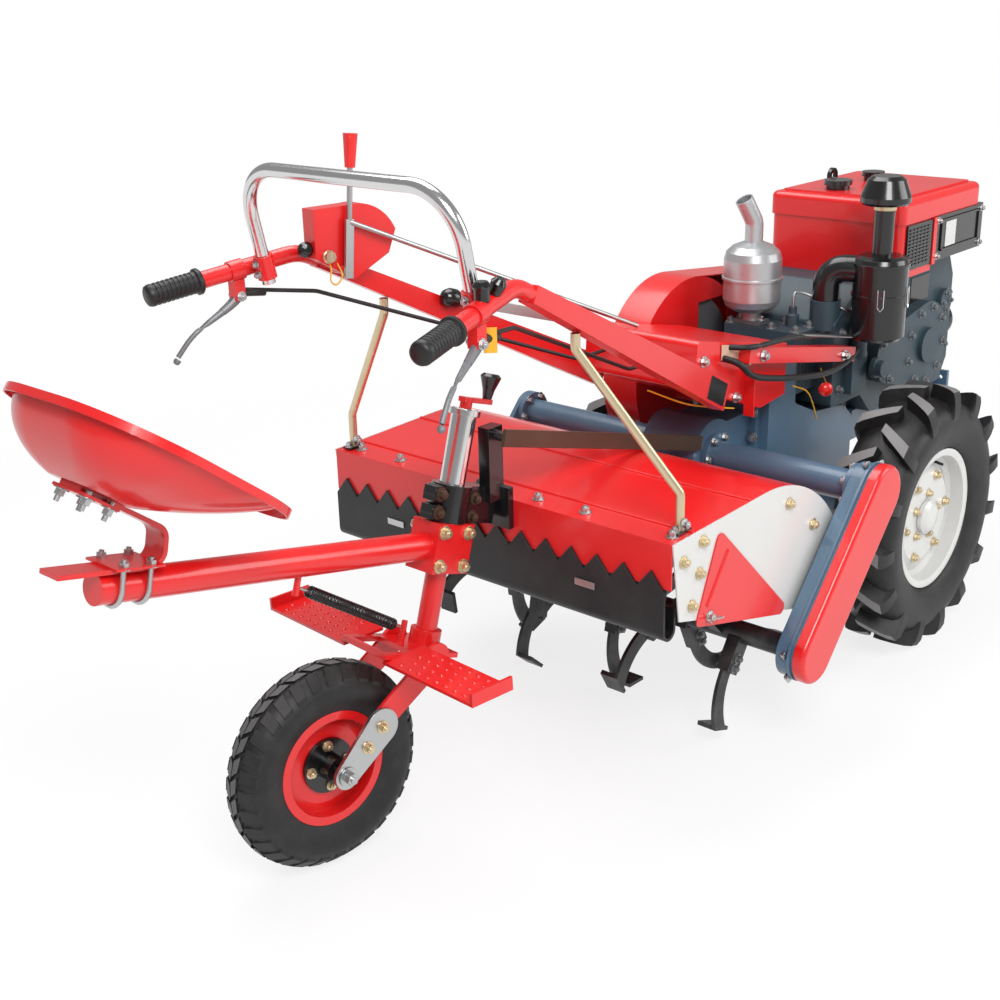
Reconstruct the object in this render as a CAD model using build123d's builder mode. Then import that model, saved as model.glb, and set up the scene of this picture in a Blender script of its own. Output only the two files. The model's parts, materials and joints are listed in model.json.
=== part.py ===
from build123d import *

import os
from math import asin, atan2, cos, degrees, hypot, radians, sin, sqrt

# Frame: +X forward, +Y to the machine's left, +Z up, floor at Z = 0, millimetres
AXLE_X = 735.0  # drive axle ahead of the middle of the machine
CLEAR = 0.3  # gap between curved faces that seat on each other
RUN = 0.05  # radial running clearance of shafts in their bores
SHEET = 3.0  # pressed sheet steel

# Drive wheels
DRIVE_TYRE_RADIUS = 322.0  # to the lugs' tips
DRIVE_TYRE_WIDTH = 165.0
TYRE_SIDES = 40  # facets round a tyre
LUG_COUNT = 15  # on each half of the tread
LUG_HEIGHT = 30.0
LUG_WIDTH = 34.0
LUG_SWEEP = 62.0  # how far a lug trails from the middle to the shoulder
DRIVE_WHEEL_Y = 370.0  # wheel mid-plane from the centre plane
RIM_SEAT_RADIUS = 160.0
RIM_FLANGE_HEIGHT = 14.0
RIM_HALF_WIDTH = 60.0
RIM_WALL = 5.0
RIM_DISC_OFFSET = 26.0  # inner face of the wheel disc, outwards of the mid-plane
HUB_FLANGE_RADIUS = 75.0
HUB_RADIUS = 42.0
AXLE_RADIUS = 25.0
AXLE_Z = DRIVE_TYRE_RADIUS

# Gearbox of the tractor
GEARBOX_HALF_WIDTH = 110.0
GEARBOX_REAR_X = AXLE_X - 262.0
GEARBOX_FRONT_X = AXLE_X + 150.0
AXLE_HOUSING_RADIUS = 52.0
AXLE_HOUSING_END_Y = 250.0
AXLE_BORE_DEPTH = 62.0
CLUTCH_X = AXLE_X - 185.0
CLUTCH_Z = 645.0
CLUTCH_SHAFT_RADIUS = 28.0

# Engine
RAIL_TOP_Z = 500.0
RAIL_HEIGHT = 80.0
RAIL_WIDTH = 30.0
RAIL_LENGTH = 470.0
BUMPER_PLATE = 12.0
BUMPER_BOLT_Y = 130.0  # front weights bolt on here
BUMPER_BOLT_Z = 30.0
BUMPER_HOLE_RADIUS = 6.5
ENGINE_REAR_X = AXLE_X - 40.0
ENGINE_FRONT_X = AXLE_X + 600.0
ENGINE_RIGHT_Y = -150.0
ENGINE_LEFT_Y = 130.0
ENGINE_TOP_Z = 850.0
HEAD_LENGTH = 95.0
HEAD_HALF_WIDTH = 105.0
HEAD_TOP_Z = 760.0
CRANK_X = AXLE_X + 330.0
CRANK_Z = 660.0
FLYWHEEL_RADIUS = 150.0
FLYWHEEL_WIDTH = 60.0
TANK_REAR_X = AXLE_X + 165.0
TANK_LENGTH = 172.0
TANK_HEIGHT = 136.0
TANK_RIGHT_Y = -205.0
TANK_LEFT_Y = 166.0
SHROUD_LENGTH = 285.0
SHROUD_LIFT = 22.0  # its lower edge above the tank's floor
LID_HEIGHT = 58.0
LID_PANEL = 5.0  # raised middle of the lid
LIFT_RING_Y = 60.0
TANK_WALL = 8.0  # with its insulation and baffles
CRANKCASE_WALL = 16.0
MUFFLER_X = AXLE_X - 97.0
MUFFLER_Y = 52.0
MUFFLER_RADIUS = 71.0
CLEANER_X = AXLE_X + 25.0
CLEANER_Y = -228.0
CLEANER_RADIUS = 65.0
ELBOW_Y = -110.0
ELBOW_RADIUS = 33.0
ELBOW_BEND = 45.0
RISER_HEIGHT = 66.0

# Belt drive on the left side
GUARD_INNER_Y = 168.0
GUARD_OUTER_Y = 268.0
GUARD_REAR_RADIUS = 230.0
GUARD_FRONT_RADIUS = 160.0
PULLEY_RADIUS = 185.0
PULLEY_INNER_Y = 180.0
PULLEY_WIDTH = 65.0

# Rotary tiller
TUBE_X = AXLE_X - 440.0
TUBE_Z = 533.0
TUBE_RADIUS = 34.0
CASE_HALF_WIDTH = 74.0
CASE_RADIUS = 82.0
ROTOR_X = AXLE_X - 700.0
ROTOR_Z = 250.0
ROTOR_SHAFT_RADIUS = 24.0
TINE_RADIUS = 222.0
TINE_COUNT = 18
TINE_TURN = 100.0  # degrees from one tine to the next along the shaft
TINE_PITCH = 46.0
TINE_THICKNESS = 8.0
TINE_WING = 42.0  # how far a blade's tip bends sideways
HOOD_RIGHT_Y = -435.0
HOOD_LEFT_Y = 470.0
HOOD_REAR_X = AXLE_X - 1118.0
HOOD_REAR_Z = 612.0
CHAIN_CASE_RADIUS = 58.0
CHAIN_CASE_INNER_Y = -449.0
CHAIN_CASE_THICKNESS = 42.0
CHAIN_GUARD_THICKNESS = 26.0
ARM_INNER_Y = 484.0
ARM_THICKNESS = 12.0
ARM_RADIUS = 52.0
FLAP_TOP_Z = 552.0
FLAP_HEIGHT = 142.0
FLAP_ROLL = 20.0  # radius of the rolled lower edge
FLAP_THICKNESS = 6.0
FLAP_TEETH = 14
FLAP_TOOTH_HEIGHT = 38.0

# Tail wheel, its jack and its steering fork
JACK_X = AXLE_X - 1273.0  # where the boom meets the jack
JACK_Z = 555.0
STEM_RAKE = 17.5  # degrees that the jack leans forward
STEER_REST = -7.0  # degrees the fork is turned as it stands
JACK_RADIUS = 25.0
JACK_WALL = 4.0
JACK_TOP = 268.0  # along the jack from the boom
JACK_BOTTOM = -52.0
STEM_BOTTOM = -200.0
STEM_TOP = 140.0
TAIL_TYRE_RADIUS = 204.0
TAIL_SECTION = 54.0  # half the tyre's width and section
TAIL_RIM_SEAT = 101.0
TAIL_RIM_HALF = 34.0
TAIL_FLANGE = 12.0
TAIL_TRAIL = 196.0  # wheel axle behind the stem
TAIL_AXLE_RADIUS = 10.0
FORK_GAP = 124.0  # between the fork legs
FORK_PLATE = 8.0
CROWN_REACH = 150.0
PEG_REACH = 320.0
PEG_WIDTH = 95.0
PEG_TILT = -18.0  # front edge up
PEG_LIP = 20.0
BOOM_RISE = 12.5  # degrees that the boom rises to the rear
BOOM_RADIUS = 27.0
BOOM_LENGTH = 780.0
SPRING_RADIUS = 12.0
SPRING_TAB = 360.0  # tab under the boom, behind the jack
SPRING_POST = 58.0  # post on the fork, behind the stem
SPRING_POST_RADIUS = 6.0
SPRING_POST_END = 16.0  # post beyond the spring's hook
SPRING_LOW = 30.0  # hook above the crown
SPRING_HOOK = 34.0  # length of the hooks
SPRING_WIRE = 3.0

# Seat
SEAT_X = AXLE_X - 1900.0  # middle of the rim
SEAT_Z = 915.0
SEAT_TILT = 38.0
SEAT_LENGTH = 410.0  # inside the lip
SEAT_WIDTH = 390.0
SEAT_DEPTH = 100.0

# Handles and controls
CONSOLE_HALF_WIDTH = 150.0
BEND_X = AXLE_X - 1350.0
BEND_Y = 272.0
BEND_Z = 1108.0
BEAM_FRONT_X = AXLE_X - 560.0
BEAM_FRONT_Z = 718.0
BEAM_HEIGHT = 66.0  # at the console
BEAM_WIDTH = 32.0
HANDLE_RADIUS = 16.0
HANDLE_BEND = 90.0
GRIP_X = AXLE_X - 1650.0
GRIP_Y = 344.0
GRIP_Z = 1065.0
GRIP_LENGTH = 108.0
GRIP_RADIUS = 21.0
BAR_X = AXLE_X - 1440.0
BAR_RISE = 190.0  # along the legs, above the sleeves
BAR_LEAN = 12.0  # degrees to the rear
BAR_RADIUS = 13.0
LEVER_TOP_Z = 1322.0

pieces = []


def keep(part, label):
    """Name a finished piece and put it on the list to be written."""
    part.label = label
    pieces.append(part)


def rod(start, end, radius):
    """Round bar from one point to another."""
    run = Vector(*end) - Vector(*start)
    with BuildPart() as bar:
        with BuildSketch(Plane(origin=start, z_dir=run)):
            Circle(radius)
        extrude(amount=run.length)
    return bar.part


def flat_bar(start, end, width, height):
    """Rectangular bar from one point to another, its height as upright as it can be."""
    run = Vector(*end) - Vector(*start)
    side = Vector(0, 0, 1).cross(run)
    with BuildPart() as bar:
        with BuildSketch(Plane(origin=start, x_dir=side, z_dir=run)):
            Rectangle(width, height)
        extrude(amount=run.length)
    return bar.part


def tube_path(points, radius, bend):
    """Round bar along straight runs with rounded corners."""
    with BuildPart() as bar:
        with BuildLine() as route:
            FilletPolyline(*points, radius=bend)
        with BuildSketch(Plane(origin=route.line @ 0, z_dir=route.line % 0)):
            Circle(radius)
        sweep(path=route.line)
    return bar.part


def side_plate(points, y_low, y_high):
    """Plate with an outline in X and Z between two Y planes."""
    with BuildPart() as plate:
        with BuildSketch(Plane.XZ.offset(-y_high)):
            with BuildLine():
                Polyline(*points, close=True)
            make_face()
        extrude(amount=y_high - y_low)
    return plate.part


def link_plate(first, second, radius_first, radius_second, y_low, y_high):
    """Plate with two round ends and straight flanks between two Y planes."""
    with BuildPart() as plate:
        with BuildSketch(Plane.XZ.offset(-y_high)):
            with Locations(first):
                Circle(radius_first)
            with Locations(second):
                Circle(radius_second)
            make_hull()
        extrude(amount=y_high - y_low)
    return plate.part


def cross_rod(x, z, radius, y_low, y_high):
    """Round bar along Y."""
    return rod((x, y_low, z), (x, y_high, z), radius)


def block(x_low, x_high, y_low, y_high, z_low, z_high):
    """Box between two corners."""
    with BuildPart() as box:
        with Locations(((x_low + x_high) / 2, (y_low + y_high) / 2, (z_low + z_high) / 2)):
            Box(x_high - x_low, y_high - y_low, z_high - z_low)
    return box.part


def spun(points, centre, direction):
    """Ring turned about a line along Y; points are (distance along the line, radius)."""
    with BuildPart() as ring:
        with BuildSketch(Plane(origin=centre, x_dir=(0, direction, 0), z_dir=(direction, 0, 0))):
            with BuildLine():
                Polyline(*points, close=True)
            make_face()
        revolve(axis=Axis(centre, (0, 1, 0)))
    return ring.part


def faceted_ring(sections, sides, centre):
    """Ring of flat facets round a line along Y; sections are (distance along the line, radius)."""
    corners = []
    for along, radius in sections:
        angles = [radians(360 * index / sides) for index in range(sides)]
        corners.append([Vector(radius * cos(angle), along, radius * sin(angle)) for angle in angles])
    facets = [Face(Wire.make_polygon(corners[0])), Face(Wire.make_polygon(corners[-1]))]
    for low, high in zip(corners, corners[1:]):
        for index in range(sides):
            after = (index + 1) % sides
            facets.append(Face(Wire.make_polygon([low[index], low[after], high[after], high[index]])))
    with BuildPart() as ring:
        add(Solid(Shell(facets)))
    return ring.part.moved(Location(centre))


# Drive wheels: tyre, white rim and hub with its axle, on each side
RIM_FLANGE_RADIUS = RIM_SEAT_RADIUS + RIM_FLANGE_HEIGHT
RIM_DISC_THICKNESS = 6.0
bead = RIM_HALF_WIDTH - 8.0


def drive_tyre(side):
    """Carcass with slanted lugs on both halves of the tread, trailing alike on either wheel."""
    centre = (AXLE_X, side * DRIVE_WHEEL_Y, AXLE_Z)
    crown = DRIVE_TYRE_RADIUS - LUG_HEIGHT
    shoulder = DRIVE_TYRE_WIDTH / 2 - 18.0
    facet = cos(radians(180 / TYRE_SIDES))
    bead_ring = RIM_FLANGE_RADIUS / facet
    bead_seat = (RIM_SEAT_RADIUS + 1 + CLEAR) / facet
    bulge = DRIVE_TYRE_WIDTH / 2
    lug_reach = (LUG_WIDTH + LUG_SWEEP) / 2
    lug_top = sqrt(DRIVE_TYRE_RADIUS ** 2 - lug_reach ** 2)
    first_turn = degrees(asin(lug_reach / DRIVE_TYRE_RADIUS))
    lugs = []
    for index in range(2 * LUG_COUNT):
        half = 1 if index % 2 else -1
        with BuildPart() as lug:
            with BuildSketch(Plane.XY.offset(crown - 24)):
                with BuildLine():
                    Polyline((lug_reach, half * -5), (lug_reach - LUG_WIDTH, half * -5),
                             (-lug_reach, half * (bulge - 2)),
                             (LUG_WIDTH * 1.25 - lug_reach, half * (bulge - 2)), close=True)
                make_face()
            extrude(amount=lug_top - crown + 24)
        turned = Location(centre) * Location((0, 0, 0), (0, 180.0 * index / LUG_COUNT + first_turn, 0))
        lugs.append(lug.part.moved(turned))
    outer = [(-bulge, bead_ring + 74), (-bulge + 5, crown - 28), (-shoulder, crown - 10),
             (shoulder, crown - 10), (bulge - 5, crown - 28), (bulge, bead_ring + 74)]
    inner = [(-bulge - 1, bead_ring + 40), (-RIM_HALF_WIDTH, bead_ring + 2), (-bead - 2.5, bead_ring + 0.6),
             (-bead + 1, bead_seat), (bead - 1, bead_seat), (bead + 2.5, bead_ring + 0.6),
             (RIM_HALF_WIDTH, bead_ring + 2), (bulge + 1, bead_ring + 40)]
    with BuildPart() as tyre:
        add(faceted_ring(outer, TYRE_SIDES, centre))
        add(lugs)
        add(faceted_ring(inner, TYRE_SIDES, centre), mode=Mode.SUBTRACT)
    return tyre.part


for side, name in ((1, "left"), (-1, "right")):
    wheel_centre = (AXLE_X, side * DRIVE_WHEEL_Y, AXLE_Z)
    well = RIM_SEAT_RADIUS - 14.0
    with BuildPart() as rim:
        add(spun([
            (-RIM_HALF_WIDTH, RIM_FLANGE_RADIUS), (-RIM_HALF_WIDTH + RIM_WALL, RIM_FLANGE_RADIUS),
            (-bead, RIM_SEAT_RADIUS + 1), (-20, RIM_SEAT_RADIUS), (-12, well),
            (12, well), (20, RIM_SEAT_RADIUS), (bead, RIM_SEAT_RADIUS + 1),
            (RIM_HALF_WIDTH - RIM_WALL, RIM_FLANGE_RADIUS), (RIM_HALF_WIDTH, RIM_FLANGE_RADIUS),
            (RIM_HALF_WIDTH, RIM_FLANGE_RADIUS - 6), (bead + RIM_WALL, RIM_SEAT_RADIUS - RIM_WALL + 1),
            (24, RIM_SEAT_RADIUS - RIM_WALL), (16, well - RIM_WALL),
            (-16, well - RIM_WALL), (-24, RIM_SEAT_RADIUS - RIM_WALL),
            (-bead - RIM_WALL, RIM_SEAT_RADIUS - RIM_WALL + 1), (-RIM_HALF_WIDTH, RIM_FLANGE_RADIUS - 6),
        ], wheel_centre, side))
        disc_out = RIM_DISC_OFFSET + RIM_DISC_THICKNESS
        add(spun([
            (4, well - 3), (14, well - 3), (disc_out, well - 34), (disc_out, HUB_RADIUS),
            (RIM_DISC_OFFSET, HUB_RADIUS), (RIM_DISC_OFFSET, well - 36),
        ], wheel_centre, side))
    keep(rim.part, f"drive_rim_{name}")

    keep(drive_tyre(side), f"drive_tyre_{name}")

    axle_inner = AXLE_HOUSING_END_Y - AXLE_BORE_DEPTH + 2 - DRIVE_WHEEL_Y
    hub_inner = AXLE_HOUSING_END_Y + 10 - DRIVE_WHEEL_Y
    with BuildPart() as hub:
        add(spun([
            (axle_inner, 0), (axle_inner, AXLE_RADIUS), (hub_inner, AXLE_RADIUS), (hub_inner, HUB_RADIUS),
            (RIM_DISC_OFFSET - 12, HUB_RADIUS), (RIM_DISC_OFFSET - 12, HUB_FLANGE_RADIUS),
            (RIM_DISC_OFFSET, HUB_FLANGE_RADIUS), (RIM_DISC_OFFSET, HUB_RADIUS - CLEAR),
            (disc_out + 10, HUB_RADIUS - CLEAR), (disc_out + 16, HUB_RADIUS - 8), (disc_out + 16, 0),
        ], wheel_centre, side))
    keep(hub.part, f"drive_hub_{name}")

# Gearbox with its axle housings
with BuildPart() as gearbox:
    add(side_plate([
        (GEARBOX_REAR_X, 440), (GEARBOX_REAR_X, 700), (CLUTCH_X - 25, 735), (CLUTCH_X + 40, 710),
        (CLUTCH_X + 44, 590), (AXLE_X - 40, 545), (AXLE_X + 100, 530), (GEARBOX_FRONT_X, 490),
        (GEARBOX_FRONT_X, 330), (AXLE_X + 75, 225), (AXLE_X - 75, 225), (AXLE_X - 160, 330),
    ], -GEARBOX_HALF_WIDTH, GEARBOX_HALF_WIDTH))
    fillet(gearbox.edges().filter_by(Axis.Y), radius=14)
    for side in (1, -1):
        add(cross_rod(AXLE_X, AXLE_Z, AXLE_HOUSING_RADIUS, side * GEARBOX_HALF_WIDTH * 0.9,
                      side * AXLE_HOUSING_END_Y))
        add(cross_rod(AXLE_X, AXLE_Z, AXLE_HOUSING_RADIUS + 16, side * (AXLE_HOUSING_END_Y - 60),
                      side * (AXLE_HOUSING_END_Y - 42)))
        add(cross_rod(AXLE_X, AXLE_Z, AXLE_RADIUS + RUN, side * (AXLE_HOUSING_END_Y - AXLE_BORE_DEPTH),
                      side * AXLE_HOUSING_END_Y), mode=Mode.SUBTRACT)
    add(cross_rod(CLUTCH_X, CLUTCH_Z, CLUTCH_SHAFT_RADIUS + 30, GEARBOX_HALF_WIDTH - 5, 135))
    add(cross_rod(CLUTCH_X, CLUTCH_Z, CLUTCH_SHAFT_RADIUS, 130, PULLEY_INNER_Y))
keep(gearbox.part, "gearbox")

# Engine bearers from the gearbox to the bumper
BUMPER_X = GEARBOX_FRONT_X + RAIL_LENGTH
BUMPER_Z = RAIL_TOP_Z - RAIL_HEIGHT / 2
with BuildPart() as engine_frame:
    for side in (1, -1):
        rail_y = side * (GEARBOX_HALF_WIDTH - RAIL_WIDTH / 2)
        add(block(GEARBOX_FRONT_X, BUMPER_X, rail_y - RAIL_WIDTH / 2, rail_y + RAIL_WIDTH / 2,
                  RAIL_TOP_Z - RAIL_HEIGHT, RAIL_TOP_Z))
    add(block(BUMPER_X, BUMPER_X + BUMPER_PLATE, -GEARBOX_HALF_WIDTH - 40, GEARBOX_HALF_WIDTH + 40,
              RAIL_TOP_Z - RAIL_HEIGHT - 10, RAIL_TOP_Z + 10))
    for side in (1, -1):
        for level in (1, -1):
            add(rod((BUMPER_X - 1, side * BUMPER_BOLT_Y, BUMPER_Z + level * BUMPER_BOLT_Z),
                    (BUMPER_X + BUMPER_PLATE + 1, side * BUMPER_BOLT_Y, BUMPER_Z + level * BUMPER_BOLT_Z),
                    BUMPER_HOLE_RADIUS), mode=Mode.SUBTRACT)
keep(engine_frame.part, "engine_frame")

# Engine: crankcase with timing cover, cylinder and head towards the operator
elbow_x = ENGINE_REAR_X + 20
riser_top = HEAD_TOP_Z + RISER_HEIGHT
elbow_z = riser_top + ELBOW_RADIUS + ELBOW_BEND
with BuildPart() as engine_block:
    add(side_plate([
        (ENGINE_REAR_X, 560), (ENGINE_REAR_X, 770), (AXLE_X + 70, ENGINE_TOP_Z),
        (ENGINE_FRONT_X - 30, ENGINE_TOP_Z), (ENGINE_FRONT_X, 790), (ENGINE_FRONT_X, 560),
        (ENGINE_FRONT_X - 40, RAIL_TOP_Z), (GEARBOX_FRONT_X + 20, RAIL_TOP_Z), (AXLE_X + 110, 560),
    ], ENGINE_RIGHT_Y, ENGINE_LEFT_Y))
    fillet(engine_block.edges().filter_by(Axis.Y), radius=14)
    add(link_plate((AXLE_X + 190, 650), (CRANK_X + 60, CRANK_Z - 20), 70, 115,
                   ENGINE_RIGHT_Y - 36, ENGINE_RIGHT_Y))
    add(block(ENGINE_REAR_X - HEAD_LENGTH, ENGINE_REAR_X, -HEAD_HALF_WIDTH, HEAD_HALF_WIDTH, 610, HEAD_TOP_Z))
    add(cross_rod(CRANK_X, CRANK_Z, 30, ENGINE_LEFT_Y, ENGINE_LEFT_Y + 14))
    add(rod((elbow_x, ELBOW_Y, HEAD_TOP_Z - 6), (elbow_x, ELBOW_Y, riser_top), ELBOW_RADIUS + 4))
    add(cross_rod(ENGINE_FRONT_X - 62, 727, 34, ENGINE_RIGHT_Y - 16, ENGINE_RIGHT_Y + 5))
    add(cross_rod(CRANK_X + 60, CRANK_Z - 20, 46, ENGINE_RIGHT_Y - 48, ENGINE_RIGHT_Y - 30))
    add(block(AXLE_X + 20, AXLE_X + 95, ENGINE_RIGHT_Y - 22, ENGINE_RIGHT_Y + 5, 585, 680))
    add(block(TANK_REAR_X + TANK_LENGTH + 6, ENGINE_FRONT_X - 44, ENGINE_RIGHT_Y, ENGINE_LEFT_Y,
              ENGINE_TOP_Z - 5, ENGINE_TOP_Z + SHROUD_LIFT))
    add(block(ENGINE_REAR_X + CRANKCASE_WALL, ENGINE_FRONT_X - CRANKCASE_WALL,
              ENGINE_RIGHT_Y + CRANKCASE_WALL, ENGINE_LEFT_Y - CRANKCASE_WALL, 560 + CRANKCASE_WALL, 770),
        mode=Mode.SUBTRACT)
keep(engine_block.part, "engine_block")

FLYWHEEL_INNER_Y = ENGINE_LEFT_Y + 14
with BuildPart() as flywheel:
    add(cross_rod(CRANK_X, CRANK_Z, FLYWHEEL_RADIUS, FLYWHEEL_INNER_Y, FLYWHEEL_INNER_Y + FLYWHEEL_WIDTH))
    add(cross_rod(CRANK_X, CRANK_Z, 75, FLYWHEEL_INNER_Y + FLYWHEEL_WIDTH - 5,
                  PULLEY_INNER_Y + PULLEY_WIDTH))
keep(flywheel.part, "flywheel")

with BuildPart() as clutch_pulley:
    add(cross_rod(CLUTCH_X, CLUTCH_Z, PULLEY_RADIUS, PULLEY_INNER_Y, PULLEY_INNER_Y + PULLEY_WIDTH))
keep(clutch_pulley.part, "clutch_pulley")

# Belt guard: a pressed cover, closed round the clutch shaft and open at the flywheel
GUARD_POST = 55.0  # posts behind the clutch shaft
with BuildPart() as belt_guard:
    add(link_plate((CLUTCH_X, CLUTCH_Z), (CRANK_X, CRANK_Z), GUARD_REAR_RADIUS, GUARD_FRONT_RADIUS,
                   GUARD_INNER_Y, GUARD_OUTER_Y))
    add(link_plate((CLUTCH_X, CLUTCH_Z), (CRANK_X, CRANK_Z), GUARD_REAR_RADIUS - SHEET,
                   GUARD_FRONT_RADIUS - SHEET, GUARD_INNER_Y, GUARD_OUTER_Y - SHEET), mode=Mode.SUBTRACT)
    add(cross_rod(CLUTCH_X, CLUTCH_Z, GUARD_REAR_RADIUS - SHEET / 2, GUARD_INNER_Y, GUARD_INNER_Y + SHEET))
    add(block(CLUTCH_X + CLUTCH_SHAFT_RADIUS, CLUTCH_X + GUARD_REAR_RADIUS * 0.7, GUARD_INNER_Y - 1,
              GUARD_INNER_Y + SHEET, CLUTCH_Z - GUARD_REAR_RADIUS * 0.7, CLUTCH_Z + GUARD_REAR_RADIUS * 0.7),
        mode=Mode.SUBTRACT)
    add(cross_rod(CLUTCH_X, CLUTCH_Z, CLUTCH_SHAFT_RADIUS + 8, GUARD_INNER_Y - 1, GUARD_INNER_Y + SHEET + 1),
        mode=Mode.SUBTRACT)
    for level in (1, -1):
        add(cross_rod(CLUTCH_X - GUARD_POST, CLUTCH_Z + level * GUARD_POST, 12, GEARBOX_HALF_WIDTH,
                      GUARD_INNER_Y + SHEET / 2))
keep(belt_guard.part, "belt_guard")

# Tank, lid and black shroud on top of the engine
TANK_TOP_Z = ENGINE_TOP_Z + TANK_HEIGHT
SHROUD_REAR_X = TANK_REAR_X + TANK_LENGTH
SHROUD_FRONT_X = SHROUD_REAR_X + SHROUD_LENGTH
with BuildPart() as fuel_tank:
    add(block(TANK_REAR_X, SHROUD_REAR_X, TANK_RIGHT_Y, TANK_LEFT_Y, ENGINE_TOP_Z, TANK_TOP_Z))
    fillet(fuel_tank.edges().filter_by(Axis.Z).sort_by(Axis.X)[:2], radius=22)
    add(block(TANK_REAR_X + TANK_WALL, SHROUD_REAR_X - TANK_WALL, TANK_RIGHT_Y + TANK_WALL,
              TANK_LEFT_Y - TANK_WALL, ENGINE_TOP_Z + TANK_WALL, TANK_TOP_Z - TANK_WALL), mode=Mode.SUBTRACT)
keep(fuel_tank.part, "fuel_tank")

shroud_floor = ENGINE_TOP_Z + SHROUD_LIFT
with BuildPart() as radiator_shroud:
    add(block(SHROUD_REAR_X, SHROUD_FRONT_X, TANK_RIGHT_Y - 8, TANK_LEFT_Y + 8, shroud_floor, TANK_TOP_Z))
    fillet(radiator_shroud.edges().filter_by(Axis.Z).sort_by(Axis.X)[2:], radius=14)
    add(block(SHROUD_REAR_X + TANK_WALL, SHROUD_FRONT_X - TANK_WALL, TANK_RIGHT_Y, TANK_LEFT_Y,
              shroud_floor + TANK_WALL, TANK_TOP_Z - TANK_WALL), mode=Mode.SUBTRACT)
keep(radiator_shroud.part, "radiator_shroud")

with BuildPart() as tank_lid:
    add(block(TANK_REAR_X - 4, SHROUD_FRONT_X - 20, TANK_RIGHT_Y - 4, TANK_LEFT_Y + 4, TANK_TOP_Z,
              TANK_TOP_Z + LID_HEIGHT))
    fillet(tank_lid.edges().filter_by(Axis.Z), radius=22)
    fillet(tank_lid.faces().sort_by(Axis.Z)[-1].edges(), radius=16)
    offset(amount=-SHEET, openings=tank_lid.faces().sort_by(Axis.Z)[0])
    add(block(TANK_REAR_X + 22, SHROUD_FRONT_X - 46, TANK_RIGHT_Y + 24, TANK_LEFT_Y - 24,
              TANK_TOP_Z + LID_HEIGHT - 1, TANK_TOP_Z + LID_HEIGHT + LID_PANEL))
keep(tank_lid.part, "tank_lid")

lid_top = TANK_TOP_Z + LID_HEIGHT + LID_PANEL
with BuildPart() as tank_caps:
    for cap_x, cap_radius in ((TANK_REAR_X + 80, 36), (SHROUD_REAR_X + 95, 30)):
        add(rod((cap_x, 20, lid_top), (cap_x, 20, lid_top + 12), cap_radius - 6))
        add(rod((cap_x, 20, lid_top + 12), (cap_x, 20, lid_top + 24), cap_radius))
    with BuildSketch(Plane.XZ.offset(-30 - LIFT_RING_Y)):
        with Locations((SHROUD_REAR_X - 6, lid_top + 20)):
            Circle(20)
            Circle(11, mode=Mode.SUBTRACT)
    extrude(amount=10)
keep(tank_caps.part, "tank_caps")

with BuildPart() as side_louvres:
    add(block(TANK_REAR_X + 24, SHROUD_REAR_X - 12, TANK_RIGHT_Y - 6, TANK_RIGHT_Y,
              ENGINE_TOP_Z + 20, TANK_TOP_Z - 4))
keep(side_louvres.part, "side_louvres")

# Muffler standing on the head, with its outlet turned to the rear
with BuildPart() as muffler:
    with BuildSketch(Plane(origin=(MUFFLER_X, MUFFLER_Y, 0), x_dir=(1, 0, 0), z_dir=(0, -1, 0))):
        with BuildLine():
            Polyline((0, HEAD_TOP_Z), (24, HEAD_TOP_Z), (24, 788), (MUFFLER_RADIUS - 24, 794),
                     (MUFFLER_RADIUS - 6, 806), (MUFFLER_RADIUS, 822), (MUFFLER_RADIUS, 920),
                     (MUFFLER_RADIUS - 5, 938), (MUFFLER_RADIUS - 20, 952), (26, 962), (0, 962), close=True)
        make_face()
    revolve(axis=Axis((MUFFLER_X, MUFFLER_Y, 0), (0, 0, 1)))
    add(tube_path([(MUFFLER_X, MUFFLER_Y, 960), (MUFFLER_X, MUFFLER_Y, 1010),
                   (MUFFLER_X - 28, MUFFLER_Y + 14, 1066)], 22, 40))
    outlet = Vector(MUFFLER_X - 28, MUFFLER_Y + 14, 1066)
    outlet_run = (outlet - Vector(MUFFLER_X, MUFFLER_Y, 1010)).normalized()
    add(rod(outlet - outlet_run * 30, outlet + outlet_run * 5, 19), mode=Mode.SUBTRACT)
keep(muffler.part, "muffler")

# Air cleaner with its elbow to the head
with BuildPart() as air_cleaner:
    with BuildSketch(Plane(origin=(CLEANER_X, CLEANER_Y, 0), x_dir=(1, 0, 0), z_dir=(0, -1, 0))):
        with BuildLine():
            Polyline((0, 738), (CLEANER_RADIUS - 8, 738), (CLEANER_RADIUS, 746), (CLEANER_RADIUS, 924),
                     (CLEANER_RADIUS - 4, 934), (CLEANER_RADIUS - 16, 940), (24, 940), (24, 1060), (54, 1060),
                     (59, 1066), (59, 1078), (44, 1118), (34, 1126), (0, 1126), close=True)
        make_face()
    revolve(axis=Axis((CLEANER_X, CLEANER_Y, 0), (0, 0, 1)))
    add(tube_path([(CLEANER_X, CLEANER_Y, elbow_z), (elbow_x, ELBOW_Y, elbow_z),
                   (elbow_x, ELBOW_Y, riser_top)], ELBOW_RADIUS, ELBOW_BEND))
keep(air_cleaner.part, "air_cleaner")

# Tiller gear case bolted to the gearbox, and its cross tubes
with BuildPart() as tiller_gear_case:
    add(cross_rod(TUBE_X, TUBE_Z, CASE_RADIUS, -CASE_HALF_WIDTH, CASE_HALF_WIDTH))
    add(block(TUBE_X, GEARBOX_REAR_X, -CASE_HALF_WIDTH + 8, CASE_HALF_WIDTH - 8, TUBE_Z - 62, TUBE_Z + 62))
    add(block(GEARBOX_REAR_X - 18, GEARBOX_REAR_X, -CASE_HALF_WIDTH - 12, CASE_HALF_WIDTH + 12,
              TUBE_Z - 76, TUBE_Z + 76))
keep(tiller_gear_case.part, "tiller_gear_case")

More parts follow.
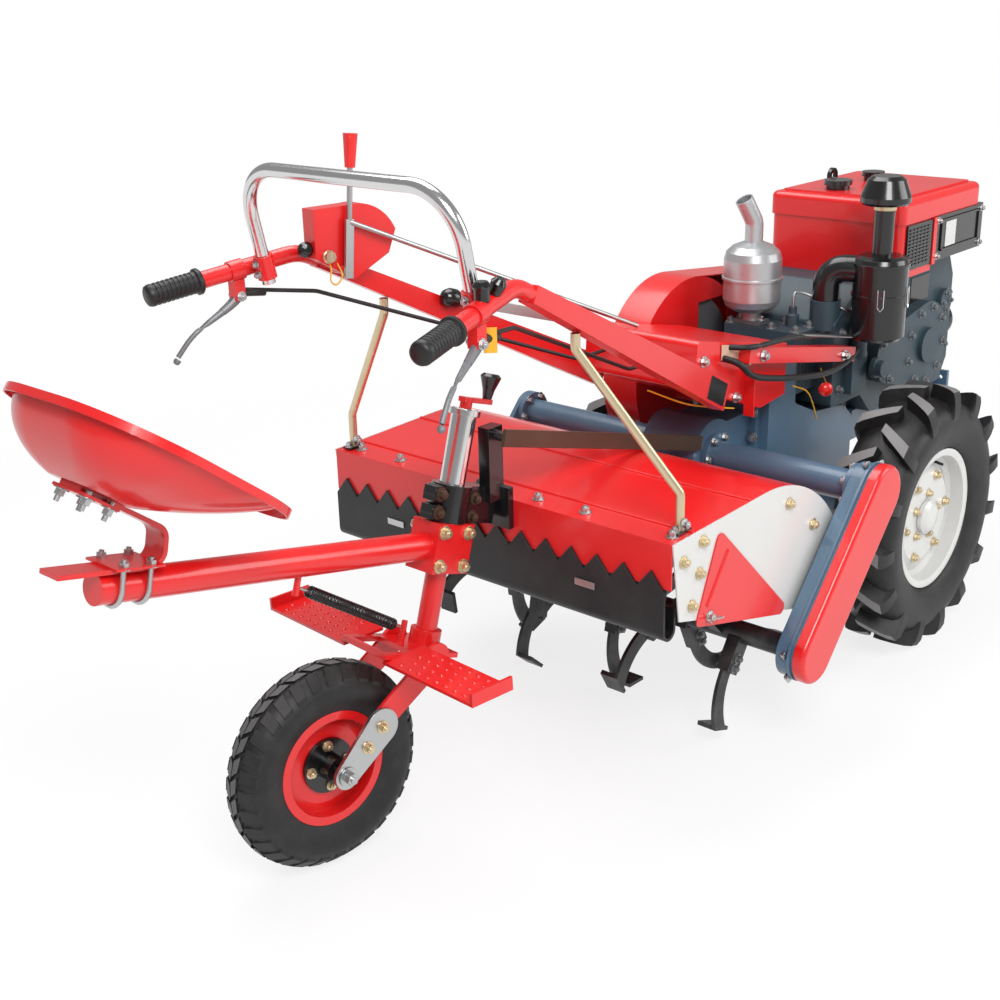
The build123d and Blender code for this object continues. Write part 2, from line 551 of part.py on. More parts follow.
with BuildPart() as drive_tube:
    add(cross_rod(TUBE_X, TUBE_Z, TUBE_RADIUS, CHAIN_CASE_INNER_Y, -CASE_HALF_WIDTH))
    add(cross_rod(TUBE_X, TUBE_Z, TUBE_RADIUS + 18, -CASE_HALF_WIDTH - 14, -CASE_HALF_WIDTH))
    add(cross_rod(TUBE_X, TUBE_Z, TUBE_RADIUS + 18, CHAIN_CASE_INNER_Y, CHAIN_CASE_INNER_Y + 14))
keep(drive_tube.part, "drive_tube")

with BuildPart() as support_tube:
    add(cross_rod(TUBE_X, TUBE_Z, TUBE_RADIUS, CASE_HALF_WIDTH, ARM_INNER_Y))
    add(cross_rod(TUBE_X, TUBE_Z, TUBE_RADIUS + 18, CASE_HALF_WIDTH, CASE_HALF_WIDTH + 14))
    add(cross_rod(TUBE_X, TUBE_Z, TUBE_RADIUS + 18, ARM_INNER_Y - 14, ARM_INNER_Y))
keep(support_tube.part, "support_tube")

# Chain case and its red guard on the right, bearing arm on the left
CHAIN_CASE_OUTER_Y = CHAIN_CASE_INNER_Y - CHAIN_CASE_THICKNESS
ROTOR_BORE = 26.0
with BuildPart() as chain_case:
    add(link_plate((TUBE_X, TUBE_Z), (ROTOR_X, ROTOR_Z), CHAIN_CASE_RADIUS, CHAIN_CASE_RADIUS,
                   CHAIN_CASE_OUTER_Y, CHAIN_CASE_INNER_Y))
    add(cross_rod(ROTOR_X, ROTOR_Z, ROTOR_SHAFT_RADIUS + RUN, CHAIN_CASE_INNER_Y - ROTOR_BORE,
                  CHAIN_CASE_INNER_Y), mode=Mode.SUBTRACT)
keep(chain_case.part, "chain_case")

with BuildPart() as chain_guard:
    add(link_plate((TUBE_X, TUBE_Z), (ROTOR_X, ROTOR_Z), CHAIN_CASE_RADIUS + 4, CHAIN_CASE_RADIUS + 4,
                   CHAIN_CASE_OUTER_Y - CHAIN_GUARD_THICKNESS, CHAIN_CASE_OUTER_Y))
    fillet(chain_guard.faces().sort_by(Axis.Y)[0].edges(), radius=10)
keep(chain_guard.part, "chain_guard")

with BuildPart() as bearing_arm:
    add(link_plate((TUBE_X, TUBE_Z), (ROTOR_X, ROTOR_Z), ARM_RADIUS, ARM_RADIUS,
                   ARM_INNER_Y, ARM_INNER_Y + ARM_THICKNESS))
    add(cross_rod(ROTOR_X, ROTOR_Z, ARM_RADIUS - 6, ARM_INNER_Y, ARM_INNER_Y + ARM_THICKNESS + 18))
    add(cross_rod(ROTOR_X, ROTOR_Z, ROTOR_SHAFT_RADIUS + RUN, ARM_INNER_Y, ARM_INNER_Y + ROTOR_BORE),
        mode=Mode.SUBTRACT)
keep(bearing_arm.part, "bearing_arm")

# Rotor: one shaft with holders and bent blades along a helix
rotor_right = CHAIN_CASE_INNER_Y - ROTOR_BORE + 2
rotor_left = ARM_INNER_Y + ROTOR_BORE - 2
tine_first = (HOOD_RIGHT_Y + HOOD_LEFT_Y - TINE_PITCH * (TINE_COUNT - 1)) / 2


def tine(wing):
    """Holder and curved blade on the shaft, its tip bent to one side, in the rotor's own frame."""
    y_low = min(-TINE_THICKNESS / 2, wing)
    with BuildPart() as blade:
        add(block(ROTOR_SHAFT_RADIUS - 8, 92, -15, 15, -21, 21))
        with BuildSketch(Plane.XZ.offset(-TINE_THICKNESS / 2)):
            with BuildLine():
                Line((60, -17), (60, 17))
                ThreePointArc((60, 17), (135, 22), (TINE_RADIUS * 0.93, 84))
                Line((TINE_RADIUS * 0.93, 84), (TINE_RADIUS * 0.985, 38))
                ThreePointArc((TINE_RADIUS * 0.985, 38), (140, -14), (60, -17))
            make_face()
        extrude(amount=TINE_THICKNESS)
        with BuildSketch(Plane.XZ.offset(-y_low - abs(wing) - TINE_THICKNESS / 2)):
            with BuildLine():
                Polyline((TINE_RADIUS * 0.985, 38), (TINE_RADIUS * 0.925, 88), (TINE_RADIUS * 0.89, 86),
                         (TINE_RADIUS * 0.945, 34), close=True)
            make_face()
        extrude(amount=abs(wing) + TINE_THICKNESS / 2)
    return blade.part


with BuildPart() as rotor:
    add(cross_rod(ROTOR_X, ROTOR_Z, ROTOR_SHAFT_RADIUS, rotor_right, rotor_left))
    for index in range(TINE_COUNT):
        spot = Location((ROTOR_X, tine_first + TINE_PITCH * index, ROTOR_Z))
        turned = Location((0, 0, 0), (0, TINE_TURN * index + 25, 0))
        add(tine(TINE_WING if index % 2 else -TINE_WING).moved(spot * turned))
keep(rotor.part, "rotor")

# Hood over the rotor, with side plates and triangular guards
HOOD_CREST_X = AXLE_X - 800.0
HOOD_CREST_Z = 622.0
HOOD_FRONT_X = AXLE_X - 480.0
HOOD_FRONT_Z = 400.0
HOOD_LIP_Z = 520.0
with BuildPart() as hood:
    with BuildSketch(Plane.XZ.offset(-HOOD_LEFT_Y)):
        with BuildLine():
            Line((HOOD_REAR_X, HOOD_LIP_Z), (HOOD_REAR_X, HOOD_REAR_Z))
            roof = Line((HOOD_REAR_X, HOOD_REAR_Z), (HOOD_CREST_X, HOOD_CREST_Z))
            TangentArc((HOOD_CREST_X, HOOD_CREST_Z), (HOOD_FRONT_X, HOOD_FRONT_Z), tangent=roof % 1)
            offset(amount=SHEET, side=Side.RIGHT)
        make_face()
    extrude(amount=HOOD_LEFT_Y - HOOD_RIGHT_Y)
keep(hood.part, "hood")


def hood_side(y_low, y_high):
    """End plate of the hood, its top edge on the hood's outside."""
    with BuildPart() as plate:
        with BuildSketch(Plane.XZ.offset(-y_high)):
            with BuildLine():
                edge = Line((HOOD_REAR_X, HOOD_REAR_Z), (HOOD_CREST_X, HOOD_CREST_Z))
                TangentArc((HOOD_CREST_X, HOOD_CREST_Z), (HOOD_FRONT_X, HOOD_FRONT_Z), tangent=edge % 1)
                Polyline((HOOD_FRONT_X, HOOD_FRONT_Z), (ROTOR_X + 32, ROTOR_Z + 75),
                         (HOOD_REAR_X + 24, 450), (HOOD_REAR_X, HOOD_REAR_Z))
            make_face()
        extrude(amount=y_high - y_low)
    return plate.part


with BuildPart() as side_plates:
    add(hood_side(HOOD_RIGHT_Y - SHEET, HOOD_RIGHT_Y))
    add(hood_side(HOOD_LEFT_Y, HOOD_LEFT_Y + SHEET))
keep(side_plates.part, "side_plates")

GUARD_CORNERS = [(AXLE_X - 969, 599), (AXLE_X - 1044, 421), (AXLE_X - 684, 323)]
with BuildPart() as corner_guards:
    add(side_plate(GUARD_CORNERS, HOOD_RIGHT_Y - 2 * SHEET, HOOD_RIGHT_Y - SHEET))
    add(side_plate(GUARD_CORNERS, HOOD_LEFT_Y + SHEET, HOOD_LEFT_Y + 2 * SHEET))
    fillet(corner_guards.edges().filter_by(Axis.Y), radius=14)
keep(corner_guards.part, "corner_guards")

# Rubber flap with a saw-toothed top edge, on the hood's rear lip
flap_left = HOOD_LEFT_Y - 2
flap_right = HOOD_RIGHT_Y + 12
tooth = (flap_left - flap_right) / FLAP_TEETH
flap_bottom = FLAP_TOP_Z - FLAP_HEIGHT
roll_x = HOOD_REAR_X - FLAP_THICKNESS + FLAP_ROLL
with BuildPart() as rubber_flap:
    with BuildSketch(Plane.YZ.offset(HOOD_REAR_X - FLAP_THICKNESS)):
        with BuildLine():
            Polyline((flap_right, FLAP_TOP_Z - FLAP_TOOTH_HEIGHT), (flap_right, flap_bottom + FLAP_ROLL),
                     (flap_left, flap_bottom + FLAP_ROLL), (flap_left, FLAP_TOP_Z - FLAP_TOOTH_HEIGHT))
            for index in range(FLAP_TEETH):
                Polyline((flap_left - tooth * index, FLAP_TOP_Z - FLAP_TOOTH_HEIGHT),
                         (flap_left - tooth * (index + 0.5), FLAP_TOP_Z),
                         (flap_left - tooth * (index + 1), FLAP_TOP_Z - FLAP_TOOTH_HEIGHT))
        make_face()
    extrude(amount=FLAP_THICKNESS)
    with BuildSketch(Plane.XZ.offset(-flap_left)):
        with BuildLine():
            ThreePointArc((roll_x - FLAP_ROLL, flap_bottom + FLAP_ROLL), (roll_x, flap_bottom),
                          (roll_x + FLAP_ROLL, flap_bottom + FLAP_ROLL))
            Polyline((roll_x + FLAP_ROLL, flap_bottom + FLAP_ROLL), (roll_x + FLAP_ROLL, flap_bottom + 62),
                     (roll_x + FLAP_ROLL - FLAP_THICKNESS, flap_bottom + 62),
                     (roll_x + FLAP_ROLL - FLAP_THICKNESS, flap_bottom + FLAP_ROLL))
            ThreePointArc((roll_x + FLAP_ROLL - FLAP_THICKNESS, flap_bottom + FLAP_ROLL),
                          (roll_x, flap_bottom + FLAP_THICKNESS),
                          (roll_x - FLAP_ROLL + FLAP_THICKNESS, flap_bottom + FLAP_ROLL))
            Line((roll_x - FLAP_ROLL + FLAP_THICKNESS, flap_bottom + FLAP_ROLL),
                 (roll_x - FLAP_ROLL, flap_bottom + FLAP_ROLL))
        make_face()
    extrude(amount=flap_left - flap_right)
keep(rubber_flap.part, "rubber_flap")

# Frames of the jack and of the turned steering fork
rake = radians(STEM_RAKE)
turn = radians(STEER_REST)
jack_up = Vector(sin(rake), 0, cos(rake))
jack_forward = Vector(cos(rake), 0, -sin(rake))
fork_forward = jack_forward * cos(turn) + Vector(0, 1, 0) * sin(turn)
jack_origin = Vector(JACK_X, 0, JACK_Z)
jack_frame = Location(Plane(origin=jack_origin, x_dir=jack_forward, z_dir=jack_up))
fork_frame = Location(Plane(origin=jack_origin, x_dir=fork_forward, z_dir=jack_up))

# Height of the tail axle below the boom, so that the turned wheel stands on the floor
wheel_lean = asin(sin(turn) * sin(rake))
tail_ring = TAIL_TYRE_RADIUS - TAIL_SECTION
tail_height = tail_ring * cos(wheel_lean) + TAIL_SECTION
TAIL_DROP = (tail_height - JACK_Z - TAIL_TRAIL * sin(rake) * cos(turn)) / cos(rake)

# Jack tube, crank and knob
with BuildPart() as jack_tube:
    add(rod((0, 0, JACK_BOTTOM), (0, 0, JACK_TOP), JACK_RADIUS))
    add(rod((0, 0, JACK_BOTTOM), (0, 0, STEM_TOP + 100), JACK_RADIUS - JACK_WALL), mode=Mode.SUBTRACT)
keep(jack_tube.part.moved(jack_frame), "jack_tube")

with BuildPart() as jack_crank:
    add(rod((0, 0, JACK_TOP), (0, 0, JACK_TOP + 22), 12))
    add(block(-14, 66, -9, 9, JACK_TOP + 12, JACK_TOP + 22))
keep(jack_crank.part.moved(jack_frame), "jack_crank")

with BuildPart() as crank_knob:
    with BuildSketch(Plane(origin=(58, 0, JACK_TOP + 22), x_dir=(1, 0, 0), z_dir=(0, -1, 0))):
        with BuildLine():
            Polyline((0, 0), (9, 0), (12, 18), (21, 44), (15, 50), (0, 50), close=True)
        make_face()
    revolve(axis=Axis((58, 0, 0), (0, 0, 1)))
keep(crank_knob.part.moved(jack_frame), "crank_knob")

# Black hitch bracket that holds the jack behind the hood, with its upright for the link
BRACKET_BOTTOM = 47.0
BRACKET_TOP = 120.0
BRACKET_SLEEVE = 40.0
LINK_HEIGHT = 34.0
LINK_THICKNESS = 8.0
LINK_Z = 756.0  # pin of the link in the upright
UPRIGHT_RIGHT_Y = -40.0
link_y = -CASE_HALF_WIDTH - LINK_THICKNESS / 2
link_pin_x = HOOD_REAR_X - 36
with BuildPart() as hitch_bracket:
    add(rod((0, 0, BRACKET_BOTTOM), (0, 0, BRACKET_TOP), BRACKET_SLEEVE).moved(jack_frame))
    add(block(0, 112, -24, 24, BRACKET_BOTTOM, BRACKET_TOP).moved(jack_frame))
    add(rod((0, 0, BRACKET_BOTTOM - 5), (0, 0, BRACKET_TOP + 5), JACK_RADIUS + CLEAR).moved(jack_frame),
        mode=Mode.SUBTRACT)
    add(block(HOOD_REAR_X - 14, HOOD_REAR_X, -52, 34, FLAP_TOP_Z + 1, HOOD_REAR_Z + 28))
    add(block(HOOD_REAR_X - 54, HOOD_REAR_X - 14, UPRIGHT_RIGHT_Y, UPRIGHT_RIGHT_Y + 28,
              HOOD_REAR_Z + 6, LINK_Z + 14))
    add(cross_rod(link_pin_x, LINK_Z, 10, link_y + LINK_THICKNESS / 2, UPRIGHT_RIGHT_Y + 5))
keep(hitch_bracket.part, "hitch_bracket")

# Dark flat link from the upright's pin to the tiller gear case
with BuildPart() as top_link:
    add(flat_bar((link_pin_x - LINK_HEIGHT / 2, link_y, LINK_Z + 4), (TUBE_X - 60, link_y, TUBE_Z + 42),
                 LINK_THICKNESS, LINK_HEIGHT))
keep(top_link.part, "top_link")

# Boom with its clamp round the jack
boom_back = Vector(-cos(radians(BOOM_RISE)), 0, sin(radians(BOOM_RISE)))
boom_end = jack_origin + boom_back * BOOM_LENGTH
boom_start = jack_origin + boom_back * 40
spring_top = jack_origin + boom_back * SPRING_TAB - jack_up * (BOOM_RADIUS + SPRING_RADIUS + 6)
with BuildPart() as boom:
    add(rod(boom_start, boom_end, BOOM_RADIUS))
    add(block(-52, 48, -36, 36, JACK_BOTTOM, BRACKET_BOTTOM - CLEAR).moved(jack_frame))
    add(rod(jack_origin + boom_back * SPRING_TAB, spring_top - jack_up * SPRING_POST_END, SPRING_POST_RADIUS))
    add(rod((0, 0, JACK_BOTTOM - 5), (0, 0, BRACKET_BOTTOM + 5), JACK_RADIUS + CLEAR).moved(jack_frame),
        mode=Mode.SUBTRACT)
keep(boom.part, "boom")

# Stem that slides in the jack
with BuildPart() as tail_stem:
    add(rod((0, 0, STEM_BOTTOM), (0, 0, STEM_TOP), JACK_RADIUS - JACK_WALL - RUN))
keep(tail_stem.part.moved(jack_frame), "tail_stem")

# Fork: crown on the stem, legs to the axle, foot pegs
CROWN_THICKNESS = 10.0
crown_top = STEM_BOTTOM + 30
leg_y = FORK_GAP / 2
peg_frame = Location((PEG_WIDTH / 2 - CROWN_REACH, 0, STEM_BOTTOM), (0, PEG_TILT, 0))
with BuildPart() as tail_fork:
    add(rod((0, 0, STEM_BOTTOM - CROWN_THICKNESS), (0, 0, crown_top), JACK_RADIUS + 6))
    add(block(-CROWN_REACH, 30, -leg_y - FORK_PLATE, leg_y + FORK_PLATE, STEM_BOTTOM - CROWN_THICKNESS,
              STEM_BOTTOM))
    add(rod((0, 0, STEM_BOTTOM), (0, 0, crown_top), JACK_RADIUS - JACK_WALL), mode=Mode.SUBTRACT)
    add(block(-CROWN_REACH + 14, -SPRING_POST - 14, -leg_y + 12, leg_y - 12,
              STEM_BOTTOM - 2 * CROWN_THICKNESS, STEM_BOTTOM + CROWN_THICKNESS), mode=Mode.SUBTRACT)
    for side in (1, -1):
        inner = side * leg_y
        outer = side * (leg_y + FORK_PLATE)
        add(link_plate((-20, STEM_BOTTOM - 8), (-TAIL_TRAIL * 0.72, TAIL_DROP * 0.62 + STEM_BOTTOM * 0.38),
                       28, 24, min(inner, outer), max(inner, outer)))
        peg_ends = sorted((side * leg_y, side * PEG_REACH))
        lip_ends = sorted((side * (PEG_REACH - 6), side * PEG_REACH))
        add(block(-PEG_WIDTH / 2, PEG_WIDTH / 2, peg_ends[0], peg_ends[1], -6, 0).moved(peg_frame))
        add(block(-PEG_WIDTH / 2, PEG_WIDTH / 2, lip_ends[0], lip_ends[1], -6, PEG_LIP).moved(peg_frame))
    add(rod((-SPRING_POST, 0, STEM_BOTTOM), (-SPRING_POST, 0, STEM_BOTTOM + SPRING_LOW + SPRING_POST_END),
            SPRING_POST_RADIUS))
keep(tail_fork.part.moved(fork_frame), "tail_fork")

# Zinc plates that carry the tail axle, bolted outside the legs
AXLE_PLATE = 8.0
with BuildPart() as axle_plates:
    for side in (1, -1):
        inner = side * (leg_y + FORK_PLATE)
        outer = side * (leg_y + FORK_PLATE + AXLE_PLATE)
        add(link_plate((-TAIL_TRAIL, TAIL_DROP),
                       (-TAIL_TRAIL * 0.68, TAIL_DROP * 0.6 + STEM_BOTTOM * 0.4), 26, 36,
                       min(inner, outer), max(inner, outer)))
        add(cross_rod(-TAIL_TRAIL, TAIL_DROP, TAIL_AXLE_RADIUS + RUN, min(inner, outer) - 5,
                      max(inner, outer) + 5), mode=Mode.SUBTRACT)
keep(axle_plates.part.moved(fork_frame), "axle_plates")

# Tail wheel: axle, hub, red rim and tyre
tail_centre = (-TAIL_TRAIL, 0, TAIL_DROP)
axle_end = leg_y + FORK_PLATE + AXLE_PLATE + 16
TAIL_HUB_RADIUS = 26.0
TAIL_HUB_HALF = 50.0
with BuildPart() as tail_hub:
    add(cross_rod(-TAIL_TRAIL, TAIL_DROP, TAIL_AXLE_RADIUS, -axle_end, axle_end))
    add(cross_rod(-TAIL_TRAIL, TAIL_DROP, TAIL_HUB_RADIUS, -TAIL_HUB_HALF, TAIL_HUB_HALF))
    add(cross_rod(-TAIL_TRAIL, TAIL_DROP, 54, -18, -10))
keep(tail_hub.part.moved(fork_frame), "tail_hub")

with BuildPart() as tail_rim:
    add(spun([
        (-TAIL_RIM_HALF, TAIL_RIM_SEAT + TAIL_FLANGE), (-TAIL_RIM_HALF + 4, TAIL_RIM_SEAT + TAIL_FLANGE),
        (-TAIL_RIM_HALF + 6, TAIL_RIM_SEAT), (TAIL_RIM_HALF - 6, TAIL_RIM_SEAT),
        (TAIL_RIM_HALF - 4, TAIL_RIM_SEAT + TAIL_FLANGE), (TAIL_RIM_HALF, TAIL_RIM_SEAT + TAIL_FLANGE),
        (TAIL_RIM_HALF, TAIL_RIM_SEAT - 5), (4, TAIL_RIM_SEAT - 5),
        (0, TAIL_RIM_SEAT - 20), (-6, TAIL_HUB_RADIUS + CLEAR), (-10, TAIL_HUB_RADIUS + CLEAR),
        (-10, TAIL_RIM_SEAT - 24), (-6, TAIL_RIM_SEAT - 5), (-TAIL_RIM_HALF, TAIL_RIM_SEAT - 5),
    ], tail_centre, 1))
keep(tail_rim.part.moved(fork_frame), "tail_rim")

tail_facet = cos(radians(180 / TYRE_SIDES))
tail_bands = 6
tail_outer = []
for index in range(tail_bands + 1):
    band = radians(15 + 150 * index / tail_bands)
    tail_outer.append((-TAIL_SECTION * cos(band), tail_ring + TAIL_SECTION * sin(band)))
tail_seat = (TAIL_RIM_SEAT + CLEAR) / tail_facet
tail_bead = (TAIL_RIM_SEAT + TAIL_FLANGE + CLEAR) / tail_facet
tail_wall = tail_ring + TAIL_SECTION * 0.2
tail_inner = [(-TAIL_SECTION, tail_wall), (-TAIL_RIM_HALF, tail_bead), (-TAIL_RIM_HALF + 4.6, tail_bead),
              (-TAIL_RIM_HALF + 7, tail_seat), (TAIL_RIM_HALF - 7, tail_seat),
              (TAIL_RIM_HALF - 4.6, tail_bead), (TAIL_RIM_HALF, tail_bead), (TAIL_SECTION, tail_wall)]
with BuildPart() as tail_tyre:
    add(faceted_ring(tail_outer, TYRE_SIDES, tail_centre))
    add(faceted_ring(tail_inner, TYRE_SIDES, tail_centre), mode=Mode.SUBTRACT)
keep(tail_tyre.part.moved(fork_frame), "tail_tyre")

# Return spring from the boom to the crown
spring_low = jack_origin + jack_up * (STEM_BOTTOM + SPRING_LOW) - fork_forward * SPRING_POST
spring_run = (spring_low - spring_top).normalized()
spring_across = abs(spring_run.dot(fork_forward))
hook_reach = (SPRING_POST_RADIUS + CLEAR + SPRING_WIRE * abs(spring_run.dot(jack_up))) / spring_across
with BuildPart() as tail_spring:
    add(rod(spring_top + spring_run * hook_reach, spring_low - spring_run * hook_reach, SPRING_WIRE))
    add(rod(spring_top + spring_run * SPRING_HOOK, spring_low - spring_run * SPRING_HOOK, SPRING_RADIUS))
keep(tail_spring.part, "tail_spring")

# Seat: a pressed pan with a turned lip, on a bent leaf spring
SEAT_SECTIONS = ((0.0, 1.0, 1.0, 0.0), (0.34, 0.81, 0.92, 0.07), (0.72, 0.52, 0.7, 0.14),
                 (1.0, 0.24, 0.36, 0.175))
SEAT_LIP = 14.0
SEAT_CORNER = 0.38  # corner radius as a share of the width


def seat_bowl(wall):
    """Bowl of the seat, smaller all round by a wall; its sections are shares of the seat's
    depth, length and width, and of the length again for their place behind the middle."""
    with BuildPart() as bowl:
        for depth, length, width, behind in SEAT_SECTIONS:
            with BuildSketch(Plane.XY.offset(-(SEAT_DEPTH - wall) * depth)):
                with Locations((-SEAT_LENGTH * behind, 0)):
                    corner = min(SEAT_LENGTH * length, SEAT_WIDTH * width) * SEAT_CORNER
                    RectangleRounded(SEAT_LENGTH * length - 2 * wall, SEAT_WIDTH * width - 2 * wall,
                                     corner - wall)
        loft()
    return bowl.part


lip_length = SEAT_LENGTH + 2 * SEAT_LIP
lip_width = SEAT_WIDTH + 2 * SEAT_LIP
lip_corner = SEAT_WIDTH * SEAT_CORNER + SEAT_LIP
with BuildPart() as seat:
    add(seat_bowl(0))
    with BuildSketch(Plane.XY):
        RectangleRounded(lip_length, lip_width, lip_corner)
    extrude(amount=-SHEET)
    with BuildSketch(Plane.XY):
        RectangleRounded(lip_length, lip_width, lip_corner)
        offset(amount=-SHEET, mode=Mode.SUBTRACT)
    extrude(amount=-SEAT_LIP)
    add(seat_bowl(SHEET), mode=Mode.SUBTRACT)
seat_frame = Location(Plane(origin=(SEAT_X, 0, SEAT_Z),
                            x_dir=(cos(radians(SEAT_TILT)), 0, -sin(radians(SEAT_TILT))),
                            z_dir=(sin(radians(SEAT_TILT)), 0, cos(radians(SEAT_TILT)))))
keep(seat.part.moved(seat_frame), "seat")

seat_down = Vector(-sin(radians(SEAT_TILT)), 0, -cos(radians(SEAT_TILT)))
boom_up = Vector(sin(radians(BOOM_RISE)), 0, cos(radians(BOOM_RISE)))
seat_ahead = Vector(cos(radians(SEAT_TILT)), 0, -sin(radians(SEAT_TILT)))
LEAF_THICKNESS = 8.0
LEAF_WIDTH = 50.0
LEAF_BEND = 26.0
LEAF_REAR = 36.0  # behind the middle of the seat's floor
LEAF_AHEAD = 146.0
LEAF_LOW = 190.0  # length along the boom
floor_behind = SEAT_LENGTH * SEAT_SECTIONS[-1][3]
seat_low = Vector(SEAT_X, 0, SEAT_Z) + seat_down * SEAT_DEPTH - seat_ahead * floor_behind
leaf_top = seat_low + seat_down * (LEAF_THICKNESS / 2)
leaf_nose = leaf_top + seat_ahead * LEAF_AHEAD
boom_top = jack_origin + boom_up * (BOOM_RADIUS + LEAF_THICKNESS / 2 + CLEAR)
leaf_chin = boom_top + boom_back * ((leaf_nose - boom_top).dot(boom_back))
with BuildPart() as seat_spring:
    with BuildLine() as leaf_line:
        FilletPolyline(leaf_top - seat_ahead * LEAF_REAR, leaf_nose, leaf_chin,
                       leaf_chin + boom_back * LEAF_LOW, radius=LEAF_BEND)
    with BuildSketch(Plane(origin=leaf_line.line @ 0, x_dir=(0, 1, 0), z_dir=leaf_line.line % 0)):
        Rectangle(LEAF_WIDTH, LEAF_THICKNESS)
    sweep(path=leaf_line.line)
keep(seat_spring.part, "seat_spring")

# Red console on the gearbox, with the long rail beside the engine
CONSOLE_OUTLINE = [(AXLE_X - 636, 742), (AXLE_X - 628, 850), (AXLE_X - 358, 792), (GEARBOX_REAR_X, 772),
                   (GEARBOX_REAR_X, 650), (AXLE_X - 368, 640)]
with BuildPart() as console:
    add(side_plate(CONSOLE_OUTLINE, -CONSOLE_HALF_WIDTH, CONSOLE_HALF_WIDTH))
    fillet(console.edges().filter_by(Axis.Y).sort_by(Axis.X)[:3], radius=14)
    with BuildSketch(Plane.XZ.offset(SHEET - CONSOLE_HALF_WIDTH)):
        with BuildLine():
            Polyline(*CONSOLE_OUTLINE, close=True)
        make_face()
        offset(amount=-2 * SHEET, kind=Kind.INTERSECTION, mode=Mode.REPLACE)
    extrude(amount=2 * (CONSOLE_HALF_WIDTH - SHEET), mode=Mode.SUBTRACT)
    add(flat_bar((AXLE_X - 470, -CONSOLE_HALF_WIDTH - 16, 790), (AXLE_X + 10, -CONSOLE_HALF_WIDTH - 16, 693),
                 32, 36))
keep(console.part, "console")

# Handles: beams that taper up from the console, bent round tube to the grips, sleeves for the grab bar
beam_front_y = CONSOLE_HALF_WIDTH + BEAM_WIDTH / 2
beam_fall = (BEND_Z - BEAM_FRONT_Z) / (BEAM_FRONT_X - BEND_X)
bend_left = Vector(BEND_X, BEND_Y, BEND_Z)
beam_left = Vector(BEAM_FRONT_X, beam_front_y, BEAM_FRONT_Z)
grip_left = Vector(GRIP_X, GRIP_Y, GRIP_Z)
grip_run = (bend_left - grip_left).normalized()
bar_share = (BEND_X - BAR_X) / (BEND_X - GRIP_X)
bar_y = BEND_Y + (GRIP_Y - BEND_Y) * bar_share - HANDLE_RADIUS - BAR_RADIUS - 2
sleeve_z = BEND_Z + (GRIP_Z - BEND_Z) * bar_share
bar_up = Vector(-sin(radians(BAR_LEAN)), 0, cos(radians(BAR_LEAN)))
SLEEVE_WALL = 5.0
SLEEVE_HALF = 22.0
GRIP_CAP = 6.0
with BuildPart() as handles:
    for side in (1, -1):
        front = Vector(BEAM_FRONT_X, side * beam_front_y, BEAM_FRONT_Z)
        bend = Vector(BEND_X, side * BEND_Y, BEND_Z)
        fall = (front - bend).normalized()
        tip = grip_left + grip_run * GRIP_CAP
        across = Vector(0, 0, 1).cross(fall)
        with BuildSketch(Plane(origin=bend + fall * HANDLE_BEND / 2, x_dir=across, z_dir=fall)):
            Rectangle(BEAM_WIDTH, 2 * HANDLE_RADIUS)
        with BuildSketch(Plane(origin=front, x_dir=across, z_dir=fall)):
            Rectangle(BEAM_WIDTH, BEAM_HEIGHT)
        loft(ruled=True)
        add(tube_path([bend + fall * HANDLE_BEND, bend, (tip.X, side * tip.Y, tip.Z)], HANDLE_RADIUS,
                      HANDLE_BEND))
        foot = Vector(BAR_X, side * bar_y, sleeve_z)
        add(rod(foot - bar_up * SLEEVE_HALF, foot + bar_up * SLEEVE_HALF, BAR_RADIUS + SLEEVE_WALL))
        add(rod(foot - bar_up * 2 * SLEEVE_HALF, foot + bar_up * 2 * SLEEVE_HALF, BAR_RADIUS + CLEAR),
            mode=Mode.SUBTRACT)
    add(block(BEND_X, AXLE_X, -CONSOLE_HALF_WIDTH, CONSOLE_HALF_WIDTH, 0, BEND_Z), mode=Mode.SUBTRACT)
keep(handles.part, "handles")

with BuildPart() as grips:
    for side in (1, -1):
        along = Vector(grip_run.X, side * grip_run.Y, grip_run.Z)
        end = Vector(GRIP_X, side * GRIP_Y, GRIP_Z)
        add(rod(end, end + along * GRIP_LENGTH, GRIP_RADIUS))
        add(rod(end + along * GRIP_CAP, end + along * (GRIP_LENGTH + 5), HANDLE_RADIUS + CLEAR),
            mode=Mode.SUBTRACT)
keep(grips.part, "grips")

# Chrome grab bar between the handles, held in their sleeves
with BuildPart() as grab_bar:
    bar_feet = [Vector(BAR_X, side * bar_y, sleeve_z) for side in (1, -1)]
    add(tube_path([bar_feet[0] - bar_up * (SLEEVE_HALF + 10), bar_feet[0] + bar_up * BAR_RISE,
                   bar_feet[1] + bar_up * BAR_RISE, bar_feet[1] - bar_up * (SLEEVE_HALF + 10)],
                  BAR_RADIUS, BAR_RISE * 0.5))
keep(grab_bar.part, "grab_bar")


def beam_y(x):
    """Middle of the left beam at a place along the machine."""
    return BEND_Y + (beam_front_y - BEND_Y) * (x - BEND_X) / (BEAM_FRONT_X - BEND_X)


def beam_z(x):
    """Height of the middle of the beams at a place along the machine."""
    return BEND_Z - beam_fall * (x - BEND_X)


def beam_low(x):
    """Height of the lower edge of the beams at a place along the machine."""
    taper_start = BEND_X + HANDLE_BEND / 2 * (BEAM_FRONT_X - BEND_X) / (bend_left - beam_left).length
    share = (x - taper_start) / (BEAM_FRONT_X - taper_start)
    half = HANDLE_RADIUS + (BEAM_HEIGHT / 2 - HANDLE_RADIUS) * share
    return beam_z(x) - half * hypot(1, beam_fall)


